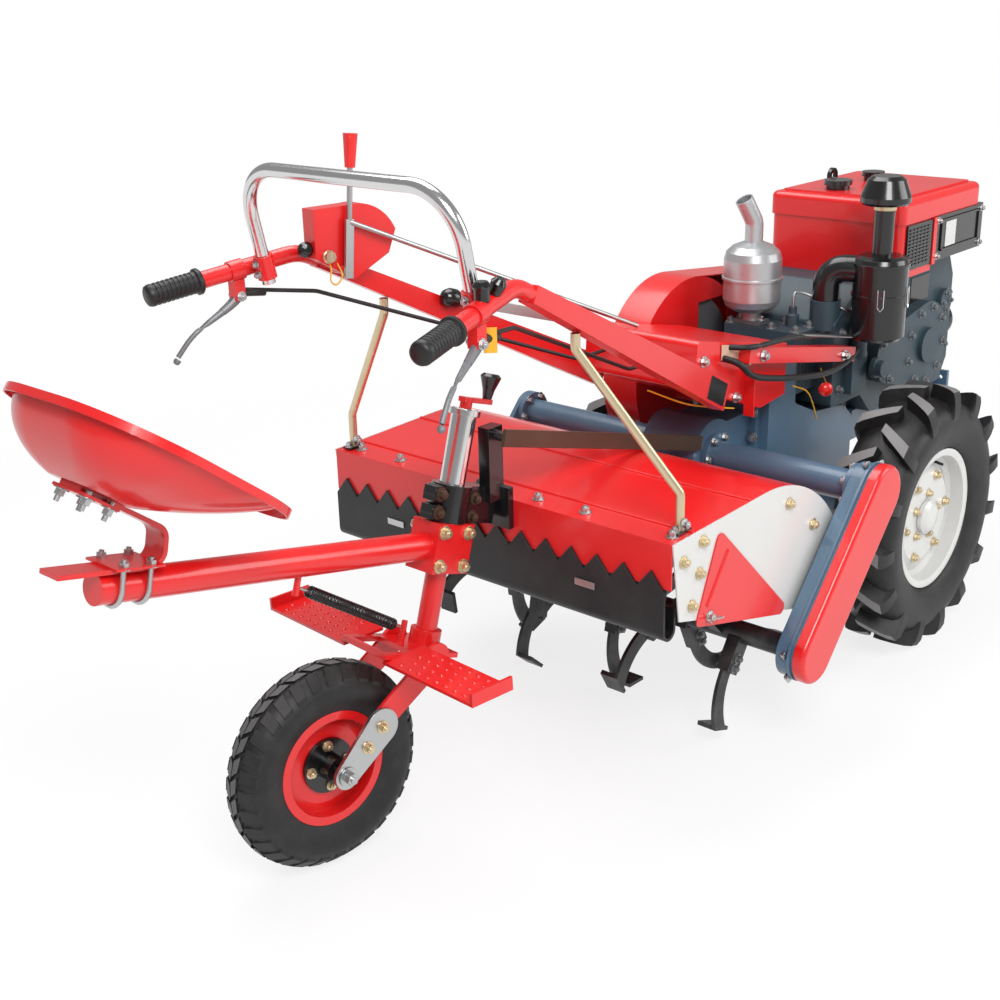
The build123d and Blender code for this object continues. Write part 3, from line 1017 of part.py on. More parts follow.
# Gear quadrant of folded sheet, parallel to the left beam, with the pivot of its lever
QUADRANT_X = AXLE_X - 1250.0
QUADRANT_REAR = -99.0
QUADRANT_CROWN = -14.0
QUADRANT_FRONT = 88.0
QUADRANT_RISE = 132.0  # above the middle of the beam
QUADRANT_WIDTH = 36.0
PIVOT_RADIUS = 9.0
LEVER_GRIP_LENGTH = 62.0
LEVER_THICKNESS = 6.0
LEVER_RADIUS = 5.5
beam_yaw = degrees(atan2(beam_front_y - BEND_Y, BEAM_FRONT_X - BEND_X))
quadrant_y = beam_y(QUADRANT_X) - BEAM_WIDTH / 2 / cos(radians(beam_yaw)) - CLEAR
quadrant_z = beam_z(QUADRANT_X)
quadrant_top = quadrant_z + QUADRANT_RISE
lever_foot = Vector(QUADRANT_X - 40, quadrant_y - QUADRANT_WIDTH - LEVER_THICKNESS, quadrant_z + 12)
with BuildPart() as quadrant:
    with BuildSketch(Plane.XZ):
        with BuildLine():
            Polyline((QUADRANT_CROWN, quadrant_z - 10), (QUADRANT_REAR, quadrant_z + 40),
                     (QUADRANT_REAR, quadrant_top), (QUADRANT_CROWN, quadrant_top))
            ThreePointArc((QUADRANT_CROWN, quadrant_top), (QUADRANT_FRONT * 0.55, quadrant_top - 14),
                          (QUADRANT_FRONT, quadrant_top - 58))
            Polyline((QUADRANT_FRONT, quadrant_top - 58), (QUADRANT_FRONT - 18, quadrant_z + 30),
                     (QUADRANT_CROWN, quadrant_z - 10))
        make_face()
    extrude(amount=QUADRANT_WIDTH)
    with BuildSketch(Plane.XZ.offset(SHEET)):
        add(quadrant.faces().sort_by(Axis.Y)[-1].moved(Location((0, -SHEET, 0))))
        offset(amount=-SHEET, mode=Mode.REPLACE)
    extrude(amount=QUADRANT_WIDTH, mode=Mode.SUBTRACT)
quadrant_frame = Location((QUADRANT_X, quadrant_y, 0), (0, 0, beam_yaw))
with BuildPart() as quadrant_pivot:
    add(quadrant.part.moved(quadrant_frame))
    add(cross_rod(lever_foot.X, lever_foot.Z, PIVOT_RADIUS, lever_foot.Y + LEVER_THICKNESS / 2, quadrant_y))
keep(quadrant_pivot.part, "quadrant")

lever_top = Vector(QUADRANT_X - 16, lever_foot.Y, LEVER_TOP_Z)
lever_joint = lever_top + (lever_foot - lever_top).normalized() * LEVER_GRIP_LENGTH
lever_low = lever_foot - (lever_top - lever_foot).normalized() * 16
lever_middle = (lever_foot + lever_joint) / 2
rod_start = lever_foot + (lever_top - lever_foot) * 0.36
with BuildPart() as gear_lever:
    add(flat_bar(lever_low, lever_middle, LEVER_THICKNESS, 20))
    add(rod(lever_middle, lever_joint, LEVER_RADIUS))
    add(rod(rod_start, (AXLE_X - 560, 60, 841), 5))
keep(gear_lever.part, "gear_lever")

with BuildPart(Plane(origin=lever_joint, z_dir=lever_top - lever_joint)) as lever_grip:
    Cone(10, 14, LEVER_GRIP_LENGTH, align=(Align.CENTER, Align.CENTER, Align.MIN))
keep(lever_grip.part, "lever_grip")

# Stays from the handles to the hood
STAY_X = AXLE_X - 1160.0
STAY_RADIUS = 9.0
stay_y = beam_y(STAY_X)
stay_z = beam_low(STAY_X + STAY_RADIUS) - CLEAR
with BuildPart() as stays:
    for side, foot_x, foot_y in ((-1, AXLE_X - 1060, HOOD_RIGHT_Y + 24),
                                 (1, AXLE_X - 1085, HOOD_LEFT_Y - 24)):
        foot_z = HOOD_REAR_Z + (HOOD_CREST_Z - HOOD_REAR_Z) * (foot_x - HOOD_REAR_X) / (
            HOOD_CREST_X - HOOD_REAR_X)
        add(tube_path([(STAY_X, side * stay_y, stay_z), (STAY_X, side * stay_y, stay_z - 30),
                       (foot_x, foot_y, 690), (foot_x, foot_y, foot_z + CLEAR + 0.3)], STAY_RADIUS, 22))
keep(stays.part, "stays")

# Hand levers under the grips
LEVER_X = AXLE_X - 1478.0
LEVER_POST_RADIUS = 12.0
handle_fall = (BEND_Z - GRIP_Z) / (BEND_X - GRIP_X)
lever_post_y = BEND_Y + (GRIP_Y - BEND_Y) * (BEND_X - LEVER_X) / (BEND_X - GRIP_X)
lever_post_z = BEND_Z - handle_fall * (BEND_X - LEVER_X + LEVER_POST_RADIUS)
lever_post_z -= HANDLE_RADIUS * hypot(1, handle_fall) + CLEAR
with BuildPart() as hand_levers:
    for side in (1, -1):
        post = Vector(LEVER_X, side * lever_post_y, lever_post_z)
        add(rod(post - Vector(0, 0, 38), post, LEVER_POST_RADIUS))
        add(flat_bar((LEVER_X + 8, side * lever_post_y, lever_post_z - 28),
                     (LEVER_X - 122, side * (lever_post_y + 34), 948), 12, 18))
keep(hand_levers.part, "hand_levers")

# Control cables from the hand levers to the console
CABLE_RADIUS = 4.0
CABLE_BEND = 60.0
CABLE_Y = 70.0  # where they enter the console
CABLE_Z = 805.0
console_back = AXLE_X - 632.5
cable_x = LEVER_X + LEVER_POST_RADIUS + CABLE_RADIUS / 2
with BuildPart() as cables:
    for side in (1, -1):
        entry = Vector(console_back, side * CABLE_Y, CABLE_Z)
        add(tube_path([(cable_x, side * lever_post_y, lever_post_z - 20),
                       (BEND_X + 20, side * (BEND_Y - 20), lever_post_z - 40),
                       entry - Vector(130, 0, 0), entry], CABLE_RADIUS, CABLE_BEND))
keep(cables.part, "cables")

os.makedirs("parts", exist_ok=True)
for piece in pieces:
    export_step(piece, f"parts/{piece.label}.step")
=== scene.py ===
import json
import logging
import math
from dataclasses import dataclass, field
from enum import Enum
from typing import Any, Iterable, Sequence

import bmesh
import bpy
from mathutils import Matrix, Vector


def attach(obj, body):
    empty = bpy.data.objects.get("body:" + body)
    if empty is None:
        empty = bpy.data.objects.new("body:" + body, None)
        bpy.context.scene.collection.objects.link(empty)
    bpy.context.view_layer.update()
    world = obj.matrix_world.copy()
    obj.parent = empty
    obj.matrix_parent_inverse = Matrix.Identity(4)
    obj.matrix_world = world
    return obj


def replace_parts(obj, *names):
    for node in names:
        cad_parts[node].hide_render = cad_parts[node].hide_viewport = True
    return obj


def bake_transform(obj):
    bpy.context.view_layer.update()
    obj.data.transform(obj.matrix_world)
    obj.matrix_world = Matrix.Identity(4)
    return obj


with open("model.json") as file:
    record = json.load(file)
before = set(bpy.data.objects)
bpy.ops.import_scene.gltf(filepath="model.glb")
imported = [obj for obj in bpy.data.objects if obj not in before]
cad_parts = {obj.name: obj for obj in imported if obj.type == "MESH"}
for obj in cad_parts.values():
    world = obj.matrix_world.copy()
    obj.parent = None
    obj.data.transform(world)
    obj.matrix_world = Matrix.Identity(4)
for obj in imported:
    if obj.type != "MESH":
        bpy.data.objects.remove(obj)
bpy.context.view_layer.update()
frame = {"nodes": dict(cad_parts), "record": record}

LOG = logging.getLogger("power_tiller")
CHASSIS = "chassis"
AXLE_X = 0.735
UP = Vector((0, 0, 1))
LEFT = Vector((0, 1, 0))
AHEAD = Vector((1, 0, 0))
SIDES = (1, -1)
SMOOTH_ANGLE = 35.0
NOISE_DETAIL = 5.0
NOISE_ROUGHNESS = 0.62
DUST_EDGES = (0.42, 0.66)
HEX_FACES = ((3, 2, 1, 0), (4, 5, 6, 7), (0, 1, 5, 4), (1, 2, 6, 5), (2, 3, 7, 6), (3, 0, 4, 7))

Point = Sequence[float]
Pair = tuple[float, float]
Profile = Sequence[Pair]
Route = Sequence[Point]
Colour = tuple[float, float, float]


def mm(x: float, y: float, z: float) -> Vector:
    """Point from millimetres.

    Args:
        x: Forward.
        y: To the machine's left.
        z: Up.

    Returns:
        The point in metres.
    """
    return Vector((x, y, z)) / 1000.0


def spoke(first: Vector, second: Vector, turn: float) -> Vector:
    """Unit vector at an angle from one direction towards another."""
    return first * math.cos(turn) + second * math.sin(turn)


def own_axes(axis: Point) -> tuple[Vector, Vector, Vector]:
    """Three square directions, of which one is given.

    Args:
        axis: First direction, of any length.

    Returns:
        The direction and two square to it.
    """
    along = Vector(axis).normalized()
    side = along.orthogonal().normalized()
    return along, side, along.cross(side)


def rectangle(left: float, right: float, low: float, high: float) -> list[Pair]:
    """Outline of a rectangle.

    Args:
        left: Start across.
        right: End across.
        low: Start upwards.
        high: End upwards.

    Returns:
        Its corners, turning from across to up.
    """
    return [(left, low), (right, low), (right, high), (left, high)]


class Graph:
    """Adds nodes to a tree and links them."""

    def __init__(self, tree: bpy.types.NodeTree) -> None:
        """Keep the tree.

        Args:
            tree: Shader or geometry tree to add to.
        """
        self.tree = tree

    def add(self, kind: str, inputs: dict[Any, Any] | None = None, **settings: Any) -> bpy.types.Node:
        """Add one node.

        Args:
            kind: Blender's name for the node.
            inputs: Values or sockets for its inputs, by name or place.
            settings: Properties of the node, set before its inputs.

        Returns:
            The new node.
        """
        node = self.tree.nodes.new(kind)
        for name, value in settings.items():
            setattr(node, name, value)
        for name, value in (inputs or {}).items():
            if isinstance(value, bpy.types.NodeSocket):
                self.tree.links.new(value, node.inputs[name])
            else:
                node.inputs[name].default_value = value
        return node

    def math(self, operation: str, *values: Any) -> bpy.types.NodeSocket:
        """Add a math node.

        Args:
            operation: Blender's name for the operation.
            values: Numbers or sockets, in order.

        Returns:
            Its result.
        """
        return self.add("ShaderNodeMath", dict(enumerate(values)), operation=operation).outputs[0]

    def blend(self, share: bpy.types.NodeSocket, first: Any, second: Any) -> bpy.types.NodeSocket:
        """Mix two colours.

        Args:
            share: Share of the second.
            first: Colour or socket.
            second: Colour or socket.

        Returns:
            The mixed colour.
        """
        return self.add("ShaderNodeMix", {0: share, 6: first, 7: second}, data_type="RGBA").outputs[2]

    def port(self, name: str, kind: str, incoming: bool = True) -> Any:
        """Add a named socket to the group's interface.

        Args:
            name: Socket name.
            kind: Socket type after the common prefix, such as Float.
            incoming: True for an input.

        Returns:
            The interface socket.
        """
        return self.tree.interface.new_socket(
            name, in_out="INPUT" if incoming else "OUTPUT", socket_type="NodeSocket" + kind)


class Effect(Enum):
    """Shared shader effects."""

    MOTTLE = "soft_mottle"
    GRAIN = "surface_grain"
    DUST = "settled_dust"

    def group(self) -> bpy.types.NodeTree:
        """Build or fetch the effect's node group.

        Returns:
            The group, with its sockets in place.
        """
        found = bpy.data.node_groups.get(self.value)
        if found:
            return found
        tree = bpy.data.node_groups.new(self.value, "ShaderNodeTree")
        graph = Graph(tree)
        graph.port("Vector", "Vector")
        graph.port("Scale", "Float")
        if self is Effect.GRAIN:
            graph.port("Height", "Float", incoming=False)
        else:
            graph.port("Color", "Color")
            graph.port("Amount", "Float")
            graph.port("Color", "Color", incoming=False)
        if self is Effect.DUST:
            graph.port("Dust Color", "Color")
            graph.port("Mask", "Float", incoming=False)
        start = graph.add("NodeGroupInput").outputs
        noise = graph.add("ShaderNodeTexNoise", {
            "Vector": start["Vector"], "Scale": start["Scale"], "Detail": NOISE_DETAIL,
            "Roughness": NOISE_ROUGHNESS}).outputs["Fac"]
        if self is Effect.GRAIN:
            ends = {"Height": noise}
        elif self is Effect.MOTTLE:
            swing = graph.math("MULTIPLY_ADD", graph.math("SUBTRACT", noise, 0.5), start["Amount"], 1.0)
            shade = graph.add("ShaderNodeVectorMath", {0: start["Color"], "Scale": swing}, operation="SCALE")
            ends = {"Color": shade.outputs[0]}
        else:
            patch = graph.add("ShaderNodeMapRange", {
                "Value": noise, 1: DUST_EDGES[0], 2: DUST_EDGES[1], 3: 0.0, 4: 1.0})
            mask = graph.math("MULTIPLY", patch.outputs[0], start["Amount"])
            ends = {"Color": graph.blend(mask, start["Color"], start["Dust Color"]), "Mask": mask}
        graph.add("NodeGroupOutput", ends)
        return tree

    def place(self, graph: Graph, inputs: dict[str, Any]) -> Any:
        """Place the effect in a material.

        Args:
            graph: The material's graph.
            inputs: Values and sockets by name.

        Returns:
            The outputs of the group node.
        """
        return graph.add("ShaderNodeGroup", inputs, node_tree=self.group()).outputs


@dataclass(frozen=True)
class Finish:
    """One surface finish and the material made from it."""

    slot: str
    colour: Colour
    roughness: float
    metallic: float = 0.0
    coat: float = 0.0
    coat_roughness: float = 0.1
    mottle: float = 0.25
    mottle_scale: float = 7.0
    grain: float = 0.0
    grain_scale: float = 260.0
    grain_depth: float = 0.001
    dust: float = 0.0
    dust_colour: Colour = (0.36, 0.34, 0.31)
    dust_scale: float = 9.0
    dust_roughness: float = 0.3
    edge: float = 0.0016
    wear: float = 0.0
    wear_colour: Colour = (0.235, 0.235, 0.235)

    def material(self, name: str) -> bpy.types.Material:
        """Build or fetch the material.

        Args:
            name: Material name.

        Returns:
            A procedural material on object coordinates.
        """
        found = bpy.data.materials.get(name)
        if found:
            return found
        made = bpy.data.materials.new(name)
        made.use_nodes = True
        links = made.node_tree.links
        shader = made.node_tree.nodes["Principled BSDF"]
        graph = Graph(made.node_tree)
        place = graph.add("ShaderNodeTexCoord").outputs["Object"]
        top = self.base(graph, place)
        if self.dust:
            dusty = Effect.DUST.place(graph, {
                "Vector": place, "Color": top, "Scale": self.dust_scale, "Amount": self.dust,
                "Dust Color": (*self.dust_colour, 1.0)})
            top = dusty["Color"]
            rough = graph.add("ShaderNodeMapRange", {
                "Value": dusty["Mask"], 3: self.roughness, 4: min(1.0, self.roughness + self.dust_roughness)})
            links.new(rough.outputs[0], shader.inputs["Roughness"])
        else:
            shader.inputs["Roughness"].default_value = self.roughness
        links.new(top, shader.inputs["Base Color"])
        shader.inputs["Metallic"].default_value = self.metallic
        shader.inputs["Coat Weight"].default_value = self.coat
        shader.inputs["Coat Roughness"].default_value = self.coat_roughness
        normal = graph.add("ShaderNodeBevel", {"Radius": self.edge}, samples=4).outputs["Normal"]
        if self.grain:
            height = Effect.GRAIN.place(graph, {"Vector": place, "Scale": self.grain_scale})["Height"]
            normal = graph.add("ShaderNodeBump", {
                "Strength": self.grain, "Distance": self.grain_depth, "Height": height,
                "Normal": normal}).outputs["Normal"]
        links.new(normal, shader.inputs["Normal"])
        return made

    def base(self, graph: Graph, place: bpy.types.NodeSocket) -> bpy.types.NodeSocket:
        """Mottled colour, worn where the piece is marked so.

        Args:
            graph: The material's graph.
            place: Object coordinates.

        Returns:
            The colour under the dust.
        """
        colour = Effect.MOTTLE.place(graph, {
            "Vector": place, "Color": (*self.colour, 1.0), "Scale": self.mottle_scale, "Amount": self.mottle})
        if not self.wear:
            return colour["Color"]
        worn = graph.add("ShaderNodeAttribute", attribute_name="wear").outputs["Fac"]
        return graph.blend(graph.math("MULTIPLY", worn, self.wear), colour["Color"], (*self.wear_colour, 1.0))


class Paint(Enum):
    """Finishes of the machine, each on a slot of the record where it has one."""

    RED = Finish("red_paint", (0.69, 0.010, 0.011), 0.3, coat=0.35, mottle=0.16)
    STEM_RED = Finish("stem_red", (0.69, 0.012, 0.013), 0.3, coat=0.4, mottle=0.2)
    BLUE = Finish("blue_paint", (0.064, 0.13, 0.205), 0.34, coat=0.25, grain=0.25, dust=0.06)
    ENGINE = Finish("engine_paint", (0.026, 0.05, 0.066), 0.52, coat=0.05, grain=0.4, grain_scale=190.0,
                    dust=0.06)
    WHITE = Finish("white_paint", (0.6, 0.6, 0.585), 0.3, coat=0.3, mottle=0.08)
    BLACK = Finish("black_paint", (0.005, 0.005, 0.006), 0.24, coat=0.35)
    CAST = Finish("cast_grey", (0.2, 0.21, 0.22), 0.5, metallic=0.6, grain=0.3)
    TINE = Finish("tine_steel", (0.02, 0.022, 0.026), 0.42, metallic=0.35, grain=0.25, dust=0.18)
    DARK_STEEL = Finish("dark_steel", (0.12, 0.075, 0.05), 0.45, metallic=0.75, mottle=0.5, grain=0.2)
    ZINC = Finish("zinc", (0.5, 0.51, 0.51), 0.32, metallic=1.0, mottle=0.2)
    YELLOW_ZINC = Finish("zinc_yellow", (0.66, 0.55, 0.36), 0.32, metallic=0.9, mottle=0.35)
    CHROME = Finish("chrome", (0.7, 0.7, 0.7), 0.17, metallic=1.0, mottle=0.08)
    SILVER = Finish("silver_paint", (0.52, 0.53, 0.54), 0.36, metallic=0.75, mottle=0.15)
    TYRE = Finish("tyre", (0.006, 0.006, 0.0066), 0.52, grain=0.35, grain_scale=330.0, dust=0.025, mottle=0.3,
                  dust_scale=26.0, wear=0.75)
    RUBBER = Finish("rubber", (0.006, 0.006, 0.007), 0.45, grain=0.3, dust=0.03)
    BLACK_PLASTIC = Finish("black_plastic", (0.005, 0.005, 0.005), 0.2, coat=0.3)
    RED_PLASTIC = Finish("red_plastic", (0.72, 0.012, 0.010), 0.28, coat=0.3)
    YELLOW = Finish("", (0.8, 0.42, 0.02), 0.35)
    PAPER = Finish("", (0.62, 0.42, 0.3), 0.7, mottle=0.5, mottle_scale=40.0)

    def material(self) -> bpy.types.Material:
        """The finish's material."""
        return self.value.material(f"finish_{self.name.lower()}")


class Shape:
    """Mesh under construction, in metres, in the frame's axes."""

    def __init__(self) -> None:
        """Start with nothing."""
        self.points: list[Vector] = []
        self.faces: list[tuple[int, ...]] = []

    def extend(self, points: Iterable[Point], faces: Iterable[Sequence[int]]) -> "Shape":
        """Add points and the faces between them.

        Args:
            points: New corners.
            faces: Faces by index into the new corners.

        Returns:
            This shape.
        """
        base = len(self.points)
        self.points += [Vector(p) for p in points]
        self.faces += [tuple(i + base for i in f) for f in faces]
        return self

    def sleeve(self, points: Sequence[Point], steps: int, closed: bool = False) -> "Shape":
        """Add rings of points with faces between them.

        Args:
            points: Points, ring after ring.
            steps: Points in a ring.
            closed: True where the last ring joins the first; otherwise both ends are capped.

        Returns:
            This shape.
        """
        rings = len(points) // steps
        faces = []
        for ring in range(rings if closed else rings - 1):
            here, there = ring * steps, (ring + 1) % rings * steps
            for step in range(steps):
                after = (step + 1) % steps
                faces.append((here + step, here + after, there + after, there + step))
        if not closed:
            faces.append(tuple(reversed(range(steps))))
            faces.append(tuple(range((rings - 1) * steps, rings * steps)))
        return self.extend(points, faces)

    def lathe(self, profile: Profile, origin: Point, axis: Point, steps: int = 40,
              closed: bool = False) -> "Shape":
        """Turn a closed ring or a capped profile about an axis.

        Args:
            profile: (distance along the axis, radius), an open run that is capped unless it closes.
            origin: Point on the axis.
            axis: Direction of the axis.
            steps: Facets round.
            closed: True for a ring whose last point joins its first.

        Returns:
            This shape.
        """
        along, side, other = own_axes(axis)
        turns = [math.tau * step / steps for step in range(steps)]
        points = [Vector(origin) + along * distance + spoke(side, other, turn) * radius
                  for distance, radius in profile for turn in turns]
        return self.sleeve(points, steps, closed)

    def tube(self, path: Route, radius: float | Sequence[float], sides: int = 10) -> "Shape":
        """Round bar along a line of points.

        Args:
            path: Points of the middle line.
            radius: Bar radius, or one for each point.
            sides: Facets round.

        Returns:
            This shape.
        """
        line = [Vector(p) for p in path]
        radii = [radius] * len(line) if isinstance(radius, float) else list(radius)
        runs = [(b - a).normalized() for a, b in zip(line, line[1:])]
        heads = [runs[0]] + [(a + b).normalized() for a, b in zip(runs, runs[1:])] + [runs[-1]]
        side = heads[0].orthogonal().normalized()
        points = []
        for spot, head, reach in zip(line, heads, radii):
            side = (side - head * side.dot(head)).normalized()
            other = head.cross(side)
            points += [spot + spoke(side, other, math.tau * step / sides) * reach for step in range(sides)]
        return self.sleeve(points, sides)

    def slab(self, outline: Profile, origin: Point, across: Point, up: Point, depth: float) -> "Shape":
        """Flat plate with an outline.

        Args:
            outline: Corners as (across, up), turning from across to up.
            origin: Origin of the outline.
            across: First direction.
            up: Second direction.
            depth: Thickness along across x up.

        Returns:
            This shape.
        """
        first, second = Vector(across), Vector(up)
        out = first.cross(second).normalized() * depth
        base = [Vector(origin) + first * a + second * b for a, b in outline]
        count = len(base)
        faces = [tuple(reversed(range(count))), tuple(range(count, 2 * count))]
        faces += [(i, (i + 1) % count, (i + 1) % count + count, i + count) for i in range(count)]
        return self.extend(base + [p + out for p in base], faces)

    def box(self, low: Point, high: Point) -> "Shape":
        """Box between two corners, square to the frame."""
        outline = rectangle(low[0], high[0], low[1], high[1])
        return self.slab(outline, (0, 0, low[2]), AHEAD, LEFT, high[2] - low[2])

    def gather(self, *parts: "BentBar | Turned") -> "Shape":
        """Add bent bars and turned parts.

        Args:
            parts: What to add, in order.

        Returns:
            This shape.
        """
        for part in parts:
            part.add_to(self)
        return self

    def piece(self, name: str, paint: Paint, body: str = CHASSIS,
              angle: float = SMOOTH_ANGLE) -> bpy.types.Object:
        """Turn the shape into a piece that rides on a body.

        Args:
            name: Piece name.
            paint: Its finish.
            body: Body that carries it.
            angle: Edges under this many degrees are shaded smooth.

        Returns:
            The finished object.
        """
        mesh = bpy.data.meshes.new(name)
        mesh.from_pydata(self.points, [], self.faces)
        work = bmesh.new()
        work.from_mesh(mesh)
        bmesh.ops.recalc_face_normals(work, faces=work.faces)
        work.to_mesh(mesh)
        work.free()
        return put(mesh, name, paint, body, angle)


def put(mesh: bpy.types.Mesh, name: str, paint: Paint, body: str | None,
        angle: float = SMOOTH_ANGLE) -> bpy.types.Object:
    """Make an object of a mesh, paint it and let it ride.

    Args:
        mesh: Finished mesh in the frame's axes.
        name: Piece name.
        paint: Its finish.
        body: Body that carries it, or None for a piece on no body.
        angle: Edges under this many degrees are shaded smooth.

    Returns:
        The object.
    """
    made = bpy.data.objects.new(name, mesh)
    bpy.context.scene.collection.objects.link(made)
    mesh.materials.clear()
    mesh.materials.append(paint.material())
    mesh.polygons.foreach_set("use_smooth", [True] * len(mesh.polygons))
    mesh.set_sharp_from_angle(angle=math.radians(angle))
    if body:
        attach(made, body)
    LOG.info("piece %s on %s: %d faces", name, body or "two bodies", len(mesh.polygons))
    return made


def mark_faces(piece: bpy.types.Object, shares: Iterable[float]) -> None:
    """Write how worn each face of a piece is.

    Args:
        piece: The piece.
        shares: Wear of its faces, in order.
    """
    wear = piece.data.attributes.new("wear", "FLOAT", "FACE")
    wear.data.foreach_set("value", list(shares))


class PieceTree:
    """Geometry tree with named inputs, whose result becomes a plain piece."""

    def __init__(self, name: str, **inputs: str) -> None:
        """Start the tree.

        Args:
            name: Name of the tree.
            inputs: Socket types of its sizes, by name.
        """
        self.tree = bpy.data.node_groups.new(name, "GeometryNodeTree")
        self.graph = Graph(self.tree)
        kinds = {"Geometry": "Geometry", **inputs, "Material": "Material"}
        self.ports = {label: self.graph.port(label, kind).identifier for label, kind in kinds.items()}
        self.graph.port("Geometry", "Geometry", incoming=False)
        self.start = self.graph.add("NodeGroupInput").outputs

    def on_points(self, shape: bpy.types.NodeSocket, **settings: Any) -> bpy.types.NodeSocket:
        """Stand a shape on every point.

        Args:
            shape: The shape.
            settings: Rotation and scale of its copies.

        Returns:
            The copies.
        """
        return self.graph.add("GeometryNodeInstanceOnPoints", {
            "Points": self.start["Geometry"], "Instance": shape, **settings}).outputs[0]

    def stored(self, name: str, kind: str) -> bpy.types.NodeSocket:
        """Value that is stored on the points."""
        return self.graph.add("GeometryNodeInputNamedAttribute", {"Name": name}, data_type=kind).outputs[0]

    def close(self, shape: bpy.types.NodeSocket) -> None:
        """End the tree with a plain mesh in the piece's material.

        Args:
            shape: The shape, or copies of it.
        """
        real = self.graph.add("GeometryNodeRealizeInstances", {0: shape})
        dressed = self.graph.add("GeometryNodeSetMaterial", {
            "Geometry": real.outputs[0], "Material": self.start["Material"]})
        self.graph.add("NodeGroupOutput", {0: dressed.outputs[0]})

    def run(self, name: str, points: Iterable[Point], paint: Paint, body: str | None,
            values: dict[str, float] | None = None, stored: dict[str, Sequence[Any]] | None = None,
            place: Matrix | None = None) -> bpy.types.Object:
        """Run the tree on points and keep the result as a plain piece.

        Args:
            name: Piece name.
            points: Where the copies stand.
            paint: The piece's finish.
            body: Body that carries it, or None for a piece on no body.
            values: Inputs of the tree by name.
            stored: Numbers or vectors to store on the points, by name.
            place: Where the result goes, if not at the frame's origin.

        Returns:
            The piece.
        """
        mesh = bpy.data.meshes.new(name + "_points")
        mesh.from_pydata([Vector(p) for p in points], [], [])
        for label, rows in (stored or {}).items():
            if isinstance(rows[0], float):
                mesh.attributes.new(label, "FLOAT", "POINT").data.foreach_set("value", rows)
            else:
                vectors = mesh.attributes.new(label, "FLOAT_VECTOR", "POINT")
                vectors.data.foreach_set("vector", [c for row in rows for c in row])
        holder = bpy.data.objects.new(name + "_holder", mesh)
        bpy.context.scene.collection.objects.link(holder)
        nodes = holder.modifiers.new("shape", "NODES")
        nodes.node_group = self.tree
        for label, value in (values or {}).items():
            nodes[self.ports[label]] = value
        nodes[self.ports["Material"]] = paint.material()
        graph = bpy.context.evaluated_depsgraph_get()
        result = bpy.data.meshes.new_from_object(holder.evaluated_get(graph), depsgraph=graph)
        bpy.data.objects.remove(holder)
        bpy.data.meshes.remove(mesh)
        result.name = name
        if place is not None:
            result.transform(place)
        return put(result, name, paint, body)


@dataclass(frozen=True)
class Bolt:
    """Place of one fastener."""

    at: Point
    axis: Point
    size: float


class BoltTree(PieceTree):
    """Hexagon bolt with washer and stud end on every point, in shares of the bolt's size."""

    HEAD_HEIGHT = 1.15
    WASHER_HEIGHT = 0.22
    HEAD_FOOT = 0.2

    def __init__(self) -> None:
        """Build the tree once."""
        super().__init__("hexagon_bolts", Head="Float", Stud="Float")
        joined = self.graph.add("GeometryNodeJoinGeometry")
        for part in (self.standing(20, 1.5, self.WASHER_HEIGHT, 0.0),
                     self.standing(6, 1.0, self.start["Head"], self.HEAD_FOOT),
                     self.standing(12, 0.52, self.start["Stud"], self.HEAD_FOOT)):
            self.tree.links.new(part, joined.inputs[0])
        axis = self.stored("axis", "FLOAT_VECTOR")
        turned = self.graph.add("FunctionNodeAlignRotationToVector", {"Vector": axis}, axis="Z")
        self.close(self.on_points(joined.outputs[0], Rotation=turned.outputs[0],
                                  Scale=self.stored("size", "FLOAT")))

    def standing(self, sides: int, radius: float, height: Any, base: float) -> bpy.types.NodeSocket:
        """Cylinder that stands on a level.

        Args:
            sides: Facets round.
            radius: Radius as a share of the bolt's size.
            height: Height, or the socket that gives it.
            base: Level of its foot.

        Returns:
            The mesh's socket.
        """
        body = self.graph.add("GeometryNodeMeshCylinder", {
            "Vertices": sides, "Radius": radius, "Depth": height})
        middle = self.graph.math("MULTIPLY_ADD", height, 0.5, base)
        lift = self.graph.add("ShaderNodeCombineXYZ", {"Z": middle})
        return self.graph.add("GeometryNodeTransform", {
            "Geometry": body.outputs["Mesh"], "Translation": lift.outputs[0]}).outputs[0]

    def place(self, name: str, bolts: Sequence[Bolt], paint: Paint, body: str = CHASSIS,
              stud: float = 1.5) -> bpy.types.Object:
        """Make one piece of a set of bolts.

        Args:
            name: Piece name.
            bolts: Where they stand.
            paint: Their finish.
            body: Body that carries them.
            stud: Height of the stud's end as a share of the bolt's size.

        Returns:
            The piece.
        """
        return self.run(name, [b.at for b in bolts], paint, body, {"Head": self.HEAD_HEIGHT, "Stud": stud}, {
            "axis": [Vector(b.axis).normalized() for b in bolts], "size": [b.size for b in bolts]})


class SlatTree(PieceTree):
    """Box of its own size on every point, for slats, painted slot shade and ribs."""

    def __init__(self) -> None:
        """Build the tree once."""
        super().__init__("slats")
        box = self.graph.add("GeometryNodeMeshCube", {"Size": (1.0, 1.0, 1.0)})
        self.close(self.on_points(box.outputs["Mesh"], Scale=self.stored("extent", "FLOAT_VECTOR")))

    def place(self, name: str, boxes: Sequence[tuple[Vector, Vector]], paint: Paint,
              body: str = CHASSIS) -> bpy.types.Object:
        """Make one piece of a set of boxes.

        Args:
            name: Piece name.
            boxes: Low and high corner of each.
            paint: Their finish.
            body: Body that carries them.

        Returns:
            The piece.
        """
        return self.run(name, [(low + high) / 2 for low, high in boxes], paint, body,
                        stored={"extent": [high - low for low, high in boxes]})


